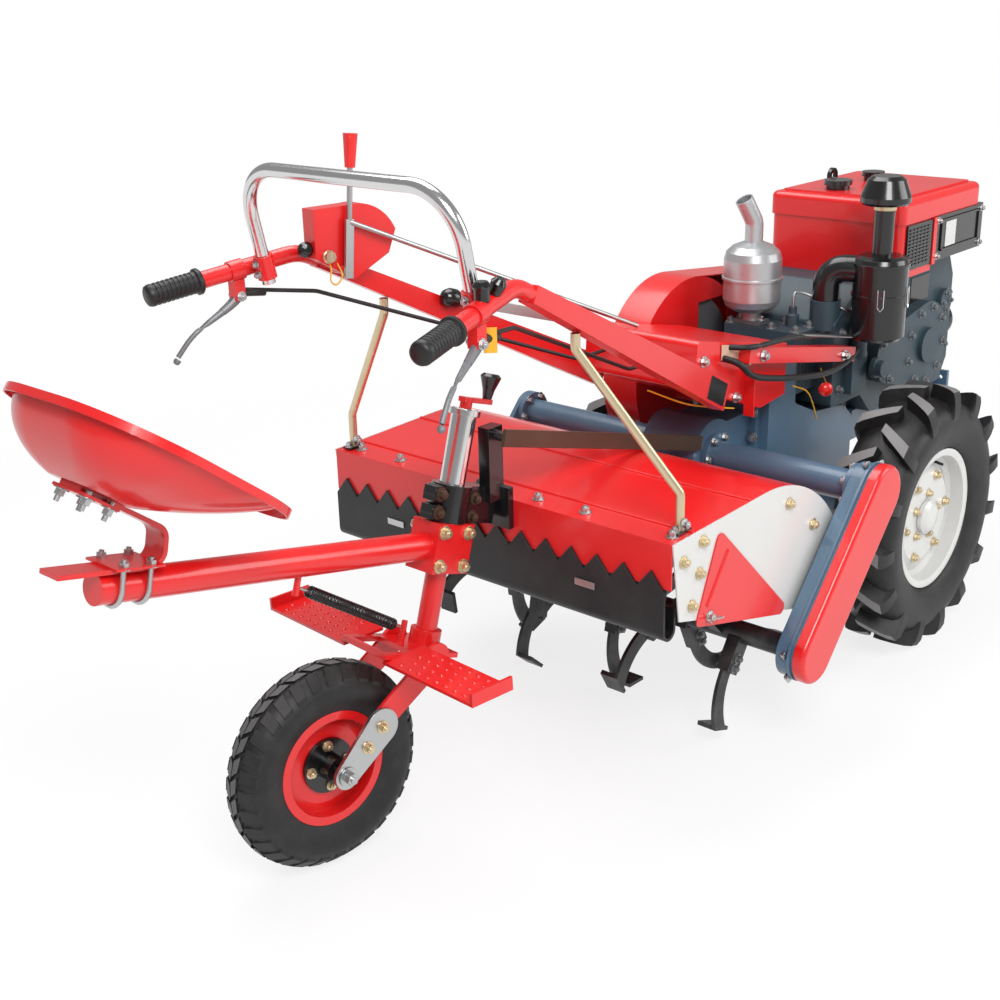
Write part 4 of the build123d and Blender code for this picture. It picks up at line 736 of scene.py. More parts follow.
class CoilTree(PieceTree):
    """Coil spring along Z."""

    STEPS = 14
    WIRE_SIDES = 7

    def __init__(self) -> None:
        """Build the tree once."""
        super().__init__("coil_spring", Turns="Float", Radius="Float", Wire="Float", Length="Float")
        line = self.graph.add("GeometryNodeCurveSpiral", {
            "Resolution": self.STEPS, "Rotations": self.start["Turns"], "Start Radius": self.start["Radius"],
            "End Radius": self.start["Radius"], "Height": self.start["Length"]})
        ring = self.graph.add("GeometryNodeCurvePrimitiveCircle", {
            "Resolution": self.WIRE_SIDES, "Radius": self.start["Wire"]})
        coil = self.graph.add("GeometryNodeCurveToMesh", {
            "Curve": line.outputs[0], "Profile Curve": ring.outputs[0], "Fill Caps": True})
        self.close(coil.outputs[0])

    def place(self, name: str, ends: tuple[Vector, Vector], radius: float, wire: float, turns: float,
              paint: Paint) -> bpy.types.Object:
        """Make one spring between two points.

        Args:
            name: Piece name.
            ends: Middle of either end.
            radius: Radius of the wire's middle line.
            wire: Wire radius.
            turns: Number of turns.
            paint: Its finish.

        Returns:
            The piece, on no body.
        """
        run = ends[1] - ends[0]
        place = Matrix.Translation(ends[0]) @ run.to_track_quat("Z", "Y").to_matrix().to_4x4()
        sizes = {"Turns": turns, "Radius": radius, "Wire": wire, "Length": run.length}
        return self.run(name, [(0, 0, 0)], paint, None, sizes, place=place)


@dataclass
class Kit:
    """The geometry trees that the sub-assemblies share."""

    bolts: BoltTree = field(default_factory=BoltTree)
    slats: SlatTree = field(default_factory=SlatTree)
    coils: CoilTree = field(default_factory=CoilTree)


def round_path(points: Route, bend: float, steps: int = 7) -> list[Vector]:
    """Line of points with its corners rounded.

    Args:
        points: Corners in millimetres.
        bend: Distance in metres from a corner at which its curve begins.
        steps: Points on each curve.

    Returns:
        The rounded line in metres.
    """
    line = [mm(*p) for p in points]
    out = [line[0]]
    for before, corner, after in zip(line, line[1:], line[2:]):
        start = corner + (before - corner).normalized() * min(bend, (before - corner).length / 2)
        end = corner + (after - corner).normalized() * min(bend, (after - corner).length / 2)
        for step in range(steps + 1):
            t = step / steps
            out.append(start * (1 - t) ** 2 + corner * (2 * t * (1 - t)) + end * t ** 2)
    return out + [line[-1]]


@dataclass(frozen=True)
class BentBar:
    """Round bar, pipe or cable: corners in millimetres, radius and bend in metres."""

    corners: Route
    radius: float
    bend: float = 0.0
    sides: int = 10
    steps: int = 7

    def add_to(self, shape: Shape) -> None:
        """Add the bar to a shape."""
        shape.tube(round_path(self.corners, self.bend, self.steps), self.radius, self.sides)


@dataclass(frozen=True)
class Turned:
    """Turned part: profile in metres along its axis, place in millimetres."""

    profile: Profile
    at: Point
    axis: Point = (0, 0, 1)
    steps: int = 24

    def add_to(self, shape: Shape) -> None:
        """Add the part to a shape."""
        shape.lathe(self.profile, mm(*self.at), self.axis, self.steps)


def ring_of(centre: Point, axis: Point, radius: float, count: int, size: float,
            start: float = 0.0) -> list[Bolt]:
    """Bolts on a circle.

    Args:
        centre: Middle of the circle, on the surface.
        axis: Direction the heads point.
        radius: Radius of the circle.
        count: Number of bolts.
        size: Size of each.
        start: First angle in degrees.

    Returns:
        The bolts.
    """
    along, side, other = own_axes(axis)
    turns = [math.radians(start) + math.tau * index / count for index in range(count)]
    return [Bolt(Vector(centre) + spoke(side, other, turn) * radius, along, size) for turn in turns]


def bolts_at(points: Route, axis: Point, size: float) -> list[Bolt]:
    """Bolts at points in millimetres."""
    return [Bolt(mm(*p), axis, size) for p in points]


@dataclass(frozen=True)
class Lamp:
    """One soft lamp."""

    name: str
    spot: Point
    power: float
    size: float


@dataclass
class Stage:
    """Floor, light and the camera at the photo's angle."""

    eye: Point = (-2.3626, -1.8133, 1.5997)
    heading: float = 47.77
    pitch: float = 20.43
    roll: float = -1.46
    lens: float = 51.3
    sensor: float = 36.0
    floor_half: float = 40.0
    floor_grey: float = 0.86
    floor_roughness: float = 0.9
    fade: Pair = (1.5, 3.2)
    white_share: float = 0.8
    sky_light: float = 0.36
    lamps: tuple[Lamp, ...] = (
        Lamp("key", (-2.6, -3.2, 4.2), 210.0, 2.2), Lamp("fill", (2.8, -3.4, 2.6), 90.0, 2.6),
        Lamp("top", (0.2, 1.2, 4.4), 130.0, 3.0))
    aim: Point = (0.1, 0, 0.5)

    def build(self) -> None:
        """Make everything that isn't part of the machine."""
        self.floor()
        self.world()
        self.light()
        self.camera()

    def floor(self) -> None:
        """White floor that keeps the shadow."""
        half = self.floor_half
        mesh = bpy.data.meshes.new("floor")
        corners = [(x, y, 0) for x, y in rectangle(-half, half, -half, half)]
        mesh.from_pydata(corners, [], [(0, 1, 2, 3)])
        mesh.materials.append(self.floor_material())
        floor = bpy.data.objects.new("floor", mesh)
        bpy.context.scene.collection.objects.link(floor)

    def floor_material(self) -> bpy.types.Material:
        """Grey that takes the shadow, white to the camera and to reflections.

        Returns:
            The material.
        """
        made = bpy.data.materials.new("floor_white")
        made.use_nodes = True
        tree = made.node_tree
        shader = tree.nodes["Principled BSDF"]
        shader.inputs["Base Color"].default_value = (*[self.floor_grey] * 3, 1)
        shader.inputs["Roughness"].default_value = self.floor_roughness
        shader.inputs["Specular IOR Level"].default_value = 0.0
        graph = Graph(tree)
        seen = graph.add("ShaderNodeLightPath").outputs
        direct = graph.math("MAXIMUM", seen["Is Camera Ray"], seen["Is Glossy Ray"])
        any_ray = graph.math("MAXIMUM", direct, seen["Is Transmission Ray"])
        spot = graph.add("ShaderNodeTexCoord").outputs["Object"]
        away = graph.add("ShaderNodeVectorMath", {0: spot}, operation="LENGTH").outputs["Value"]
        fade = graph.add("ShaderNodeMapRange", {
            "Value": away, 1: self.fade[0], 2: self.fade[1], 3: self.white_share, 4: 1.0}).outputs[0]
        white = graph.add("ShaderNodeEmission", {"Color": (1, 1, 1, 1), "Strength": 1.0})
        mixed = graph.add("ShaderNodeMixShader", {
            0: graph.math("MULTIPLY", any_ray, fade), 1: shader.outputs[0], 2: white.outputs[0]})
        tree.links.new(mixed.outputs[0], tree.nodes["Material Output"].inputs["Surface"])
        return made

    def world(self) -> None:
        """White to the camera and through glass, softer as light."""
        world = bpy.data.worlds.new("studio")
        bpy.context.scene.world = world
        world.use_nodes = True
        graph = Graph(world.node_tree)
        seen = graph.add("ShaderNodeLightPath").outputs
        direct = graph.math("MAXIMUM", seen["Is Camera Ray"], seen["Is Transmission Ray"])
        strength = graph.add("ShaderNodeMapRange", {"Value": direct, 3: self.sky_light, 4: 1.0})
        back = world.node_tree.nodes["Background"]
        back.inputs["Color"].default_value = (1, 1, 1, 1)
        world.node_tree.links.new(strength.outputs[0], back.inputs["Strength"])
        bpy.context.scene.view_settings.view_transform = "Standard"

    def light(self) -> None:
        """Soft studio lamps."""
        for lamp in self.lamps:
            data = bpy.data.lights.new(lamp.name, "AREA")
            data.energy = lamp.power
            data.size = lamp.size
            holder = bpy.data.objects.new(lamp.name, data)
            holder.location = lamp.spot
            holder.rotation_mode = "QUATERNION"
            holder.rotation_quaternion = (Vector(self.aim) - Vector(lamp.spot)).to_track_quat("-Z", "Y")
            bpy.context.scene.collection.objects.link(holder)

    def camera(self) -> None:
        """Camera at the photo's viewing angle."""
        heading, pitch, roll = (math.radians(a) for a in (self.heading, self.pitch, self.roll))
        flat = math.cos(pitch)
        ahead = Vector((math.sin(heading) * flat, math.cos(heading) * flat, -math.sin(pitch)))
        right = Vector((math.cos(heading), -math.sin(heading), 0))
        up = right.cross(ahead)
        data = bpy.data.cameras.new("photo_view")
        data.lens = self.lens
        data.sensor_width = self.sensor
        holder = bpy.data.objects.new("photo_view", data)
        turn = Matrix((spoke(right, up, roll), spoke(up, -right, roll), -ahead)).transposed()
        holder.matrix_world = Matrix.Translation(self.eye) @ turn.to_4x4()
        bpy.context.scene.collection.objects.link(holder)
        bpy.context.scene.camera = holder


@dataclass
class Paintwork:
    """Finish of every node, by its slot in the record."""

    by_slot: dict[str, Paint] = field(default_factory=lambda: {p.value.slot: p for p in Paint})

    def dress(self) -> None:
        """Paint the nodes."""
        for entry in frame["record"]["subparts"]:
            node = frame["nodes"][entry["node"]]
            node.data.materials.clear()
            node.data.materials.append(self.by_slot[entry["material_slot"]].material())
            LOG.info("node %s in %s", entry["node"], entry["material_slot"])


@dataclass
class DriveWheel:
    """One drive wheel: lugged tyre, rim bolts, cap and valve, in metres."""

    name: str
    side: int
    kit: Kit
    wheel_y: float = 0.37
    disc_face: float = 0.0325
    tyre_radius: float = 0.322
    worn_share: float = 0.985
    wall: Profile = (
        (0.0, 0.2885), (0.026, 0.288), (0.05, 0.2855), (0.066, 0.2795), (0.0765, 0.268), (0.0815, 0.252),
        (0.0825, 0.238), (0.0805, 0.222), (0.0745, 0.2), (0.067, 0.184), (0.06, 0.1768), (0.0545, 0.1756),
        (0.051, 0.1615))
    lug_count: int = 15
    lug_width: float = 0.034
    lug_sweep: float = 0.062
    lug_span: float = 0.0855
    lug_draft: float = 0.0045
    lug_flare: float = 0.125
    lug_tops: Profile = (
        (-0.005, 0.3205), (0.012, 0.3215), (0.036, 0.3215), (0.06, 0.3208), (0.0745, 0.3175), (0.081, 0.303),
        (0.0838, 0.28), (0.0838, 0.258))
    lug_feet: Profile = (
        (-0.005, 0.282), (0.012, 0.282), (0.036, 0.281), (0.058, 0.275), (0.068, 0.268), (0.073, 0.26),
        (0.077, 0.25), (0.0785, 0.244))
    rim_circle: float = 0.105
    rim_bolt: float = 0.0085
    hub_circle: float = 0.058
    hub_bolt: float = 0.0075
    hub_radius: float = 0.042
    cap_lip: float = 0.001
    cap_wall: Pair = (0.0005, 0.011)
    cap_dome: Profile = ((0.018, 0.034), (0.02, 0.03), (0.0225, 0.024), (0.023, 0.006))
    valve: Route = ((0.05, -0.012, 0.126), (0.052, 0.012, 0.121))
    valve_radius: float = 0.0035

    def __post_init__(self) -> None:
        """Work out the tyre's middle."""
        self.centre = Vector((AXLE_X, self.side * self.wheel_y, self.tyre_radius))

    def dress(self) -> None:
        """Add what the solids leave out."""
        body = f"wheel_{self.name}"
        self.tyre(body)
        out = LEFT * self.side
        face = Vector((AXLE_X, self.side * (self.wheel_y + self.disc_face), self.tyre_radius))
        bolts = ring_of(face, out, self.rim_circle, 6, self.rim_bolt, 20)
        bolts += ring_of(face, out, self.hub_circle, 5, self.hub_bolt)
        self.kit.bolts.place(f"rim_bolts_{self.name}", bolts, Paint.YELLOW_ZINC, body)
        stem = [face + Vector((x, self.side * y, z)) for x, y, z in self.valve]
        Shape().tube(stem, self.valve_radius, 8).piece(f"valve_{self.name}", Paint.RUBBER, body)
        cap = [(level, self.hub_radius + self.cap_lip) for level in self.cap_wall] + list(self.cap_dome)
        Shape().lathe(cap, face, out).piece(f"hub_cap_{self.name}", Paint.WHITE, body)

    def tyre(self, body: str) -> None:
        """Round carcass with curved, drafted lugs that run down the walls.

        Args:
            body: Body of the wheel.
        """
        section = list(self.wall) + [(-y, r) for y, r in reversed(self.wall[1:])]
        shape = Shape().lathe(section, self.centre, LEFT, 96, closed=True)
        for index in range(2 * self.lug_count):
            self.lug(shape, math.pi * index / self.lug_count, 1 if index % 2 else -1)
        piece = shape.piece(f"lugged_tyre_{self.name}", Paint.TYRE, body, 40.0)
        mark_faces(piece, (self.worn(face.center) for face in piece.data.polygons))
        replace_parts(piece, f"drive_tyre_{self.name}")

    def lug(self, shape: Shape, turn: float, half: int) -> None:
        """Add one lug to the tyre.

        Args:
            shape: The tyre.
            turn: Angle round the axle in radians, less the lug's own reach.
            half: Side of the tyre on which it runs out, 1 or -1.
        """
        reach = (self.lug_width + self.lug_sweep) / 2
        start = math.asin(reach / self.tyre_radius) + turn
        inner = self.lug_tops[0][0]
        points = []
        for top, foot in zip(self.lug_tops, self.lug_feet):
            share = min(1.0, (top[0] - inner) / self.lug_span)
            middle = reach - self.lug_width / 2 - share * (self.lug_sweep - self.lug_width * self.lug_flare)
            width = self.lug_width * (0.5 + self.lug_flare * share)
            for (y, radius), offset in ((top, self.lug_draft - width), (top, width - self.lug_draft),
                                        (foot, width), (foot, -width)):
                angle = start + (middle + offset) / self.tyre_radius
                points.append(self.centre + LEFT * (half * y) + spoke(UP, AHEAD, angle) * radius)
        shape.sleeve(points, 4)

    def worn(self, spot: Vector) -> float:
        """Wear at a spot: the tops of the lugs are worn."""
        height = math.hypot(spot.x - self.centre.x, spot.z - self.centre.z)
        return float(height > self.tyre_radius * self.worn_share)


@dataclass(frozen=True)
class TreadRow:
    """Row of tread blocks: edges across the tyre in metres; shift, width and skew in pitches."""

    low: float
    high: float
    shift: float
    width: float
    skew: float


@dataclass
class TailGear:
    """Boom clamp, jack, fork and tail wheel, in metres."""

    kit: Kit
    jack: Point = (AXLE_X - 1.273, 0.0, 0.555)
    rake: float = 17.5
    turn: float = -7.0
    boom_rise: float = 12.5
    boom_radius: float = 0.027
    trail: float = 0.196
    stem_bottom: float = -0.2
    spring_tab: float = 0.36
    tab_drop: float = 0.018
    spring_post: float = 0.058
    spring_low: float = 0.03
    spring_radius: float = 0.0105
    spring_wire: float = 0.0016
    spring_upper: float = 31.0
    spring_lower: float = 21.0
    coil_gap: float = 0.034
    hook_span: Pair = (0.009, 0.036)
    hook_wire: float = 0.0024
    tyre_ring: float = 0.15
    tyre_section: float = 0.054
    tyre_shoulder: float = 0.0025
    tyre_wall: Profile = (
        (0.0495, 0.150), (0.0415, 0.128), (0.034, 0.1137), (0.0294, 0.1137), (0.0269, 0.1016))
    tread_depth: float = 0.0055
    tread_count: int = 32
    tread_levels: Pair = (0.009, 0.0003)
    tread_rows: tuple[TreadRow, ...] = (
        TreadRow(-0.045, -0.02, 0.0, 0.62, -0.22), TreadRow(0.02, 0.045, 0.5, 0.62, 0.22),
        TreadRow(-0.0145, -0.001, 0.2, 0.74, 0.3), TreadRow(0.001, 0.0145, 0.7, 0.74, -0.3))
    wear: float = 0.5
    wear_depth: float = 0.0016
    wear_half: float = 0.046
    hub_face: float = -0.0182
    hub_circle: float = 0.041
    hub_bolt: float = 0.0072
    plate_face: float = 0.078
    plate_top: Pair = (0.68, 0.6)
    plate_shares: Pair = (0.0, 0.42)
    plate_bolt: float = 0.0085
    axle_nut: float = 0.0125
    nut_seat: float = 0.001
    peg_tilt: float = 18.0
    peg_width: float = 0.095
    crown_reach: float = 0.15
    drop_rows: int = 4
    drop_columns: int = 8
    drop_first: Pair = (-0.033, 0.1)
    drop_pitch: Pair = (0.022, 0.026)
    drop_shape: Profile = ((-0.001, 0.0055), (0.0014, 0.0046), (0.0026, 0.0018))
    clamp_ahead: Pair = (-0.036, 0.032)
    clamp_up: Pair = (-0.036, 0.03)
    clamp_face: float = 0.036
    clamp_bolt: float = 0.0095
    lug_levels: Pair = (0.066, 0.102)
    lug_at: Pair = (-0.05, -0.006)
    lug_radius: float = 0.016
    lug_arm: Point = (0.03, 0.014, 0.03)
    lug_face: float = -0.022
    lug_pin: float = 0.009
    arm_pin: Point = (0.047, -0.024, -0.006)
    arm_pin_size: float = 0.0085
    collar_at: float = 0.255
    collar: Pair = (0.012, 0.031)

    def __post_init__(self) -> None:
        """Work out the jack's, the fork's and the boom's own directions."""
        rake, turn = math.radians(self.rake), math.radians(self.turn)
        self.up = Vector((math.sin(rake), 0, math.cos(rake)))
        self.jack_ahead = Vector((math.cos(rake), 0, -math.sin(rake)))
        self.ahead = spoke(self.jack_ahead, LEFT, turn)
        self.left = self.up.cross(self.ahead)
        rise = math.radians(self.boom_rise)
        self.boom_back = Vector((-math.cos(rise), 0, math.sin(rise)))
        self.boom_up = Vector((math.sin(rise), 0, math.cos(rise)))
        lean = math.asin(math.sin(turn) * math.sin(rake))
        height = self.tyre_ring * math.cos(lean) + self.tyre_section
        self.drop = (height - self.jack[2] - self.trail * math.sin(rake) * math.cos(turn)) / math.cos(rake)

    def fork(self, ahead: float, left: float, up: float) -> Vector:
        """Point in the fork's frame.

        Args:
            ahead: Distance ahead of the stem.
            left: Distance to the fork's left.
            up: Distance along the stem from the boom.

        Returns:
            The point.
        """
        return Vector(self.jack) + self.ahead * ahead + self.left * left + self.up * up

    def stem(self, ahead: float, left: float, up: float) -> Vector:
        """Point in the jack's frame.

        Args:
            ahead: Distance ahead of the jack.
            left: Distance to the left.
            up: Distance along the jack from the boom.

        Returns:
            The point.
        """
        return Vector(self.jack) + self.jack_ahead * ahead + LEFT * left + self.up * up

    def boom(self, back: float, up: float) -> Vector:
        """Point in the boom's upright middle plane.

        Args:
            back: Distance along the boom from the jack.
            up: Distance above the boom's middle line.

        Returns:
            The point.
        """
        return Vector(self.jack) + self.boom_back * back + self.boom_up * up

    def dress(self) -> None:
        """Add the spring, the tread and the fasteners."""
        self.spring()
        self.tyre()
        self.wheel_bolts()
        self.pegs()
        self.clamps()
        self.jack_lugs()

    def spring(self) -> None:
        """Coil spring in two halves with hooks for the plain bar, between the boom, the jack and the fork."""
        top = Vector(self.jack) + self.boom_back * self.spring_tab
        top -= self.up * (self.boom_radius + self.tab_drop)
        low = self.fork(-self.spring_post, 0, self.stem_bottom + self.spring_low)
        run = (low - top).normalized()
        first, last = top + run * self.coil_gap, low - run * self.coil_gap
        middle = first.lerp(last, self.spring_upper / (self.spring_upper + self.spring_lower))
        for name, start, end, turns, bodies in (
                ("return_spring", first, middle, self.spring_upper, (CHASSIS, "jack")),
                ("return_spring_low", middle, last, self.spring_lower, ("jack", "fork"))):
            coil = self.kit.coils.place(name, (start, end), self.spring_radius, self.spring_wire, turns,
                                        Paint.BLACK)
            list(bodies)
            tuple(start)
            tuple(end)
            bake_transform(coil)
            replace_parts(coil, "tail_spring")
        near, far = (run * reach for reach in self.hook_span)
        for name, start, end, body in (("spring_hook_top", top + near, top + far, CHASSIS),
                                       ("spring_hook_low", low - far, low - near, "fork")):
            Shape().tube([start, end], self.hook_wire).piece(name, Paint.ZINC, body)

    def tread_point(self, angle: float, across: float, depth: float) -> Vector:
        """Point on the tail tyre's crown.

        Args:
            angle: Turn round the axle in radians.
            across: Distance from the tyre's middle plane.
            depth: Distance below the crown.

        Returns:
            The point.
        """
        radius = self.tyre_ring + math.sqrt(self.tyre_section ** 2 - across ** 2) - depth
        return self.fork(-self.trail, across, self.drop) + spoke(self.ahead, self.up, angle) * radius

    def tyre(self) -> None:
        """Road tyre: carcass and four rows of blocks."""
        carcass = self.tyre_section - self.tread_depth
        arc = [math.radians(a) for a in range(-75, 76, 10)]
        half = carcass + self.tyre_shoulder
        profile = [(half * math.sin(a), self.tyre_ring + carcass * math.cos(a)) for a in arc]
        profile += list(self.tyre_wall) + [(-y, r) for y, r in reversed(self.tyre_wall)]
        shape = Shape().lathe(profile, self.fork(-self.trail, 0, self.drop), self.left, 72, closed=True)
        pitch = math.tau / self.tread_count
        for index in range(self.tread_count):
            for row in self.tread_rows:
                first = pitch * index + pitch * row.shift
                last, skew = first + pitch * row.width, pitch * row.skew
                corners = [(first, row.low), (last, row.low),
                           (last + skew, row.high), (first + skew, row.high)]
                points = [self.tread_point(a, y, d) for d in self.tread_levels for a, y in corners]
                shape.extend(points, HEX_FACES)
        piece = shape.piece("tail_tyre_road", Paint.TYRE, "tail_wheel", 30.0)
        mark_faces(piece, (self.worn(face.center) for face in piece.data.polygons))
        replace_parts(piece, "tail_tyre")

    def worn(self, spot: Vector) -> float:
        """Wear at a spot: the tops of the tread blocks are half worn.

        Args:
            spot: Spot on the tyre.

        Returns:
            Its wear from 0 to 1.
        """
        reach = spot - self.fork(-self.trail, 0, self.drop)
        across = reach.dot(self.left)
        crown = self.tyre_ring + math.sqrt(max(self.tyre_section ** 2 - across ** 2, 0.0))
        height = (reach - self.left * across).length
        return self.wear * (height > crown - self.wear_depth and abs(across) < self.wear_half)

    def wheel_bolts(self) -> None:
        """Hub plate bolts, axle nuts and the axle plates' bolts."""
        hub = self.fork(-self.trail, self.hub_face, self.drop)
        self.kit.bolts.place("hub_bolts", ring_of(hub, -self.left, self.hub_circle, 4, self.hub_bolt, 45),
                             Paint.YELLOW_ZINC, "tail_wheel")
        nuts, plates = [], []
        back, down = self.plate_top
        upper = (-self.trail * back, self.drop * down + self.stem_bottom * (1 - down))
        for side in SIDES:
            out = self.left * side
            nut = self.fork(-self.trail, side * (self.plate_face + self.nut_seat), self.drop)
            nuts.append(Bolt(nut, out, self.axle_nut))
            for share in self.plate_shares:
                ahead = upper[0] + share * (-self.trail - upper[0])
                level = upper[1] + share * (self.drop - upper[1])
                plates.append(Bolt(self.fork(ahead, side * self.plate_face, level), out, self.plate_bolt))
        self.kit.bolts.place("axle_nuts", nuts, Paint.ZINC, "tail_wheel")
        self.kit.bolts.place("axle_plate_bolts", plates, Paint.YELLOW_ZINC, "fork")

    def pegs(self) -> None:
        """Raised drops on the foot pegs, each second row shifted by half a pitch."""
        tilt = math.radians(self.peg_tilt)
        ahead = spoke(self.ahead, self.up, tilt)
        face_up = spoke(self.up, -self.ahead, tilt)
        centre = self.fork(self.peg_width / 2 - self.crown_reach, 0, self.stem_bottom)
        shape = Shape()
        for side in SIDES:
            for row in range(self.drop_rows):
                for column in range(self.drop_columns):
                    across = self.drop_first[1] + self.drop_pitch[1] * (column + 0.5 * (row % 2))
                    spot = centre + ahead * (self.drop_first[0] + self.drop_pitch[0] * row)
                    shape.lathe(self.drop_shape, spot + self.left * (side * across), face_up, 9)
        shape.piece("peg_drops", Paint.RED, "fork", 60.0)

    def clamps(self) -> None:
        """Clamp bolts at the boom."""
        bolts = [Bolt(self.stem(ahead, side * self.clamp_face, up), LEFT * side, self.clamp_bolt)
                 for ahead in self.clamp_ahead for up in self.clamp_up for side in SIDES]
        self.kit.bolts.place("clamp_bolts", bolts, Paint.YELLOW_ZINC)

    def jack_lugs(self) -> None:
        """Black lugs on the jack with their pins, and the jack's collar."""
        lugs, pins = Shape(), []
        radius = self.lug_radius
        reach, half, width = self.lug_arm
        arm = rectangle(-radius, reach, -half, half)
        for up in self.lug_levels:
            middle = self.stem(*self.lug_at, up)
            lugs.lathe([(-radius, radius), (radius, radius)], middle, LEFT, 24)
            lugs.slab(arm, middle + LEFT * (width / 2), self.jack_ahead, self.up, width)
            pins.append(Bolt(self.stem(self.lug_at[0], self.lug_face, up), -LEFT, self.lug_pin))
            ahead, left, shift = self.arm_pin
            pins.append(Bolt(self.stem(ahead, left, up + shift), -LEFT, self.arm_pin_size))
        lugs.piece("jack_lugs", Paint.BLACK)
        self.kit.bolts.place("jack_lug_bolts", pins, Paint.DARK_STEEL)
        height, radius = self.collar
        collar = Shape().lathe([(0.0, radius), (height, radius)], self.stem(0, 0, self.collar_at), self.up)
        collar.piece("jack_collar", Paint.CHROME)


@dataclass
class SeatMount:
    """U-bolts that hold the seat spring on the boom, and the studs under the pan, in metres."""

    kit: Kit
    gear: TailGear
    spots: Pair = (0.698, 0.748)
    leaf_top: float = 0.0355
    rod_end: float = 0.016
    ring: float = 0.0305
    rod: float = 0.0045
    nut: float = 0.0085
    saddle: Point = (0.045, 0.042, 0.004)
    saddle_level: float = 0.0353
    seat: Point = (AXLE_X - 1.9, 0.0, 0.915)
    tilt: float = 38.0
    depth: float = 0.1
    behind: float = 0.07175
    leaf: float = 0.008
    pad: Point = (0.034, 0.044, 0.005)
    studs: Pair = (0.022, 0.034)
    stud_span: Pair = (-0.006, 0.026)

    def dress(self) -> None:
        """Add the U-bolts, the studs, their nuts and the plates under them."""
        rods, plates, nuts = Shape(), Shape(), []
        self.on_boom(rods, plates, nuts)
        self.under_pan(rods, plates, nuts)
        plates.piece("seat_plates", Paint.RED)
        rods.piece("seat_u_bolts", Paint.ZINC)
        self.kit.bolts.place("seat_nuts", nuts, Paint.ZINC)

    def on_boom(self, rods: Shape, plates: Shape, nuts: list[Bolt]) -> None:
        """U-bolts round the boom and the saddle that they hold.

        Args:
            rods: Takes the bent rods.
            plates: Takes the saddle.
            nuts: Takes the nuts.
        """
        gear = self.gear
        arc = [math.radians(a) for a in range(180, 361, 20)]
        for along in self.spots:
            centre = gear.boom(along, 0)
            top = gear.boom_up * (self.leaf_top + self.rod_end)
            path = [centre - LEFT * self.ring + top]
            path += [centre + LEFT * self.ring * math.cos(a) + gear.boom_up * self.ring * math.sin(a)
                     for a in arc]
            path.append(centre + LEFT * self.ring + top)
            rods.tube(path, self.rod, 8)
            for side in SIDES:
                spot = centre + LEFT * (side * self.ring) + gear.boom_up * self.leaf_top
                nuts.append(Bolt(spot, gear.boom_up, self.nut))
        across, up, depth = self.saddle
        plates.slab(rectangle(-across, across, -up, up), gear.boom(sum(self.spots) / 2, self.saddle_level),
                    gear.boom_back, -LEFT, depth)

    def under_pan(self, rods: Shape, plates: Shape, nuts: list[Bolt]) -> None:
        """Studs and the plate under the pan.

        Args:
            rods: Takes the studs.
            plates: Takes the plate.
            nuts: Takes the nuts.
        """
        tilt = math.radians(self.tilt)
        ahead = Vector((math.cos(tilt), 0, -math.sin(tilt)))
        down = Vector((-math.sin(tilt), 0, -math.cos(tilt)))
        pad = Vector(self.seat) + down * (self.depth + self.leaf) - ahead * self.behind
        across, up, depth = self.pad
        plates.slab(rectangle(-across, across, -up, up), pad, ahead, -LEFT, depth)
        for along in (-self.studs[0], self.studs[0]):
            for side in SIDES:
                stud = pad + ahead * along + LEFT * (side * self.studs[1])
                rods.tube([stud + down * level for level in self.stud_span], self.rod, 8)
                nuts.append(Bolt(stud + down * depth, down, self.nut))


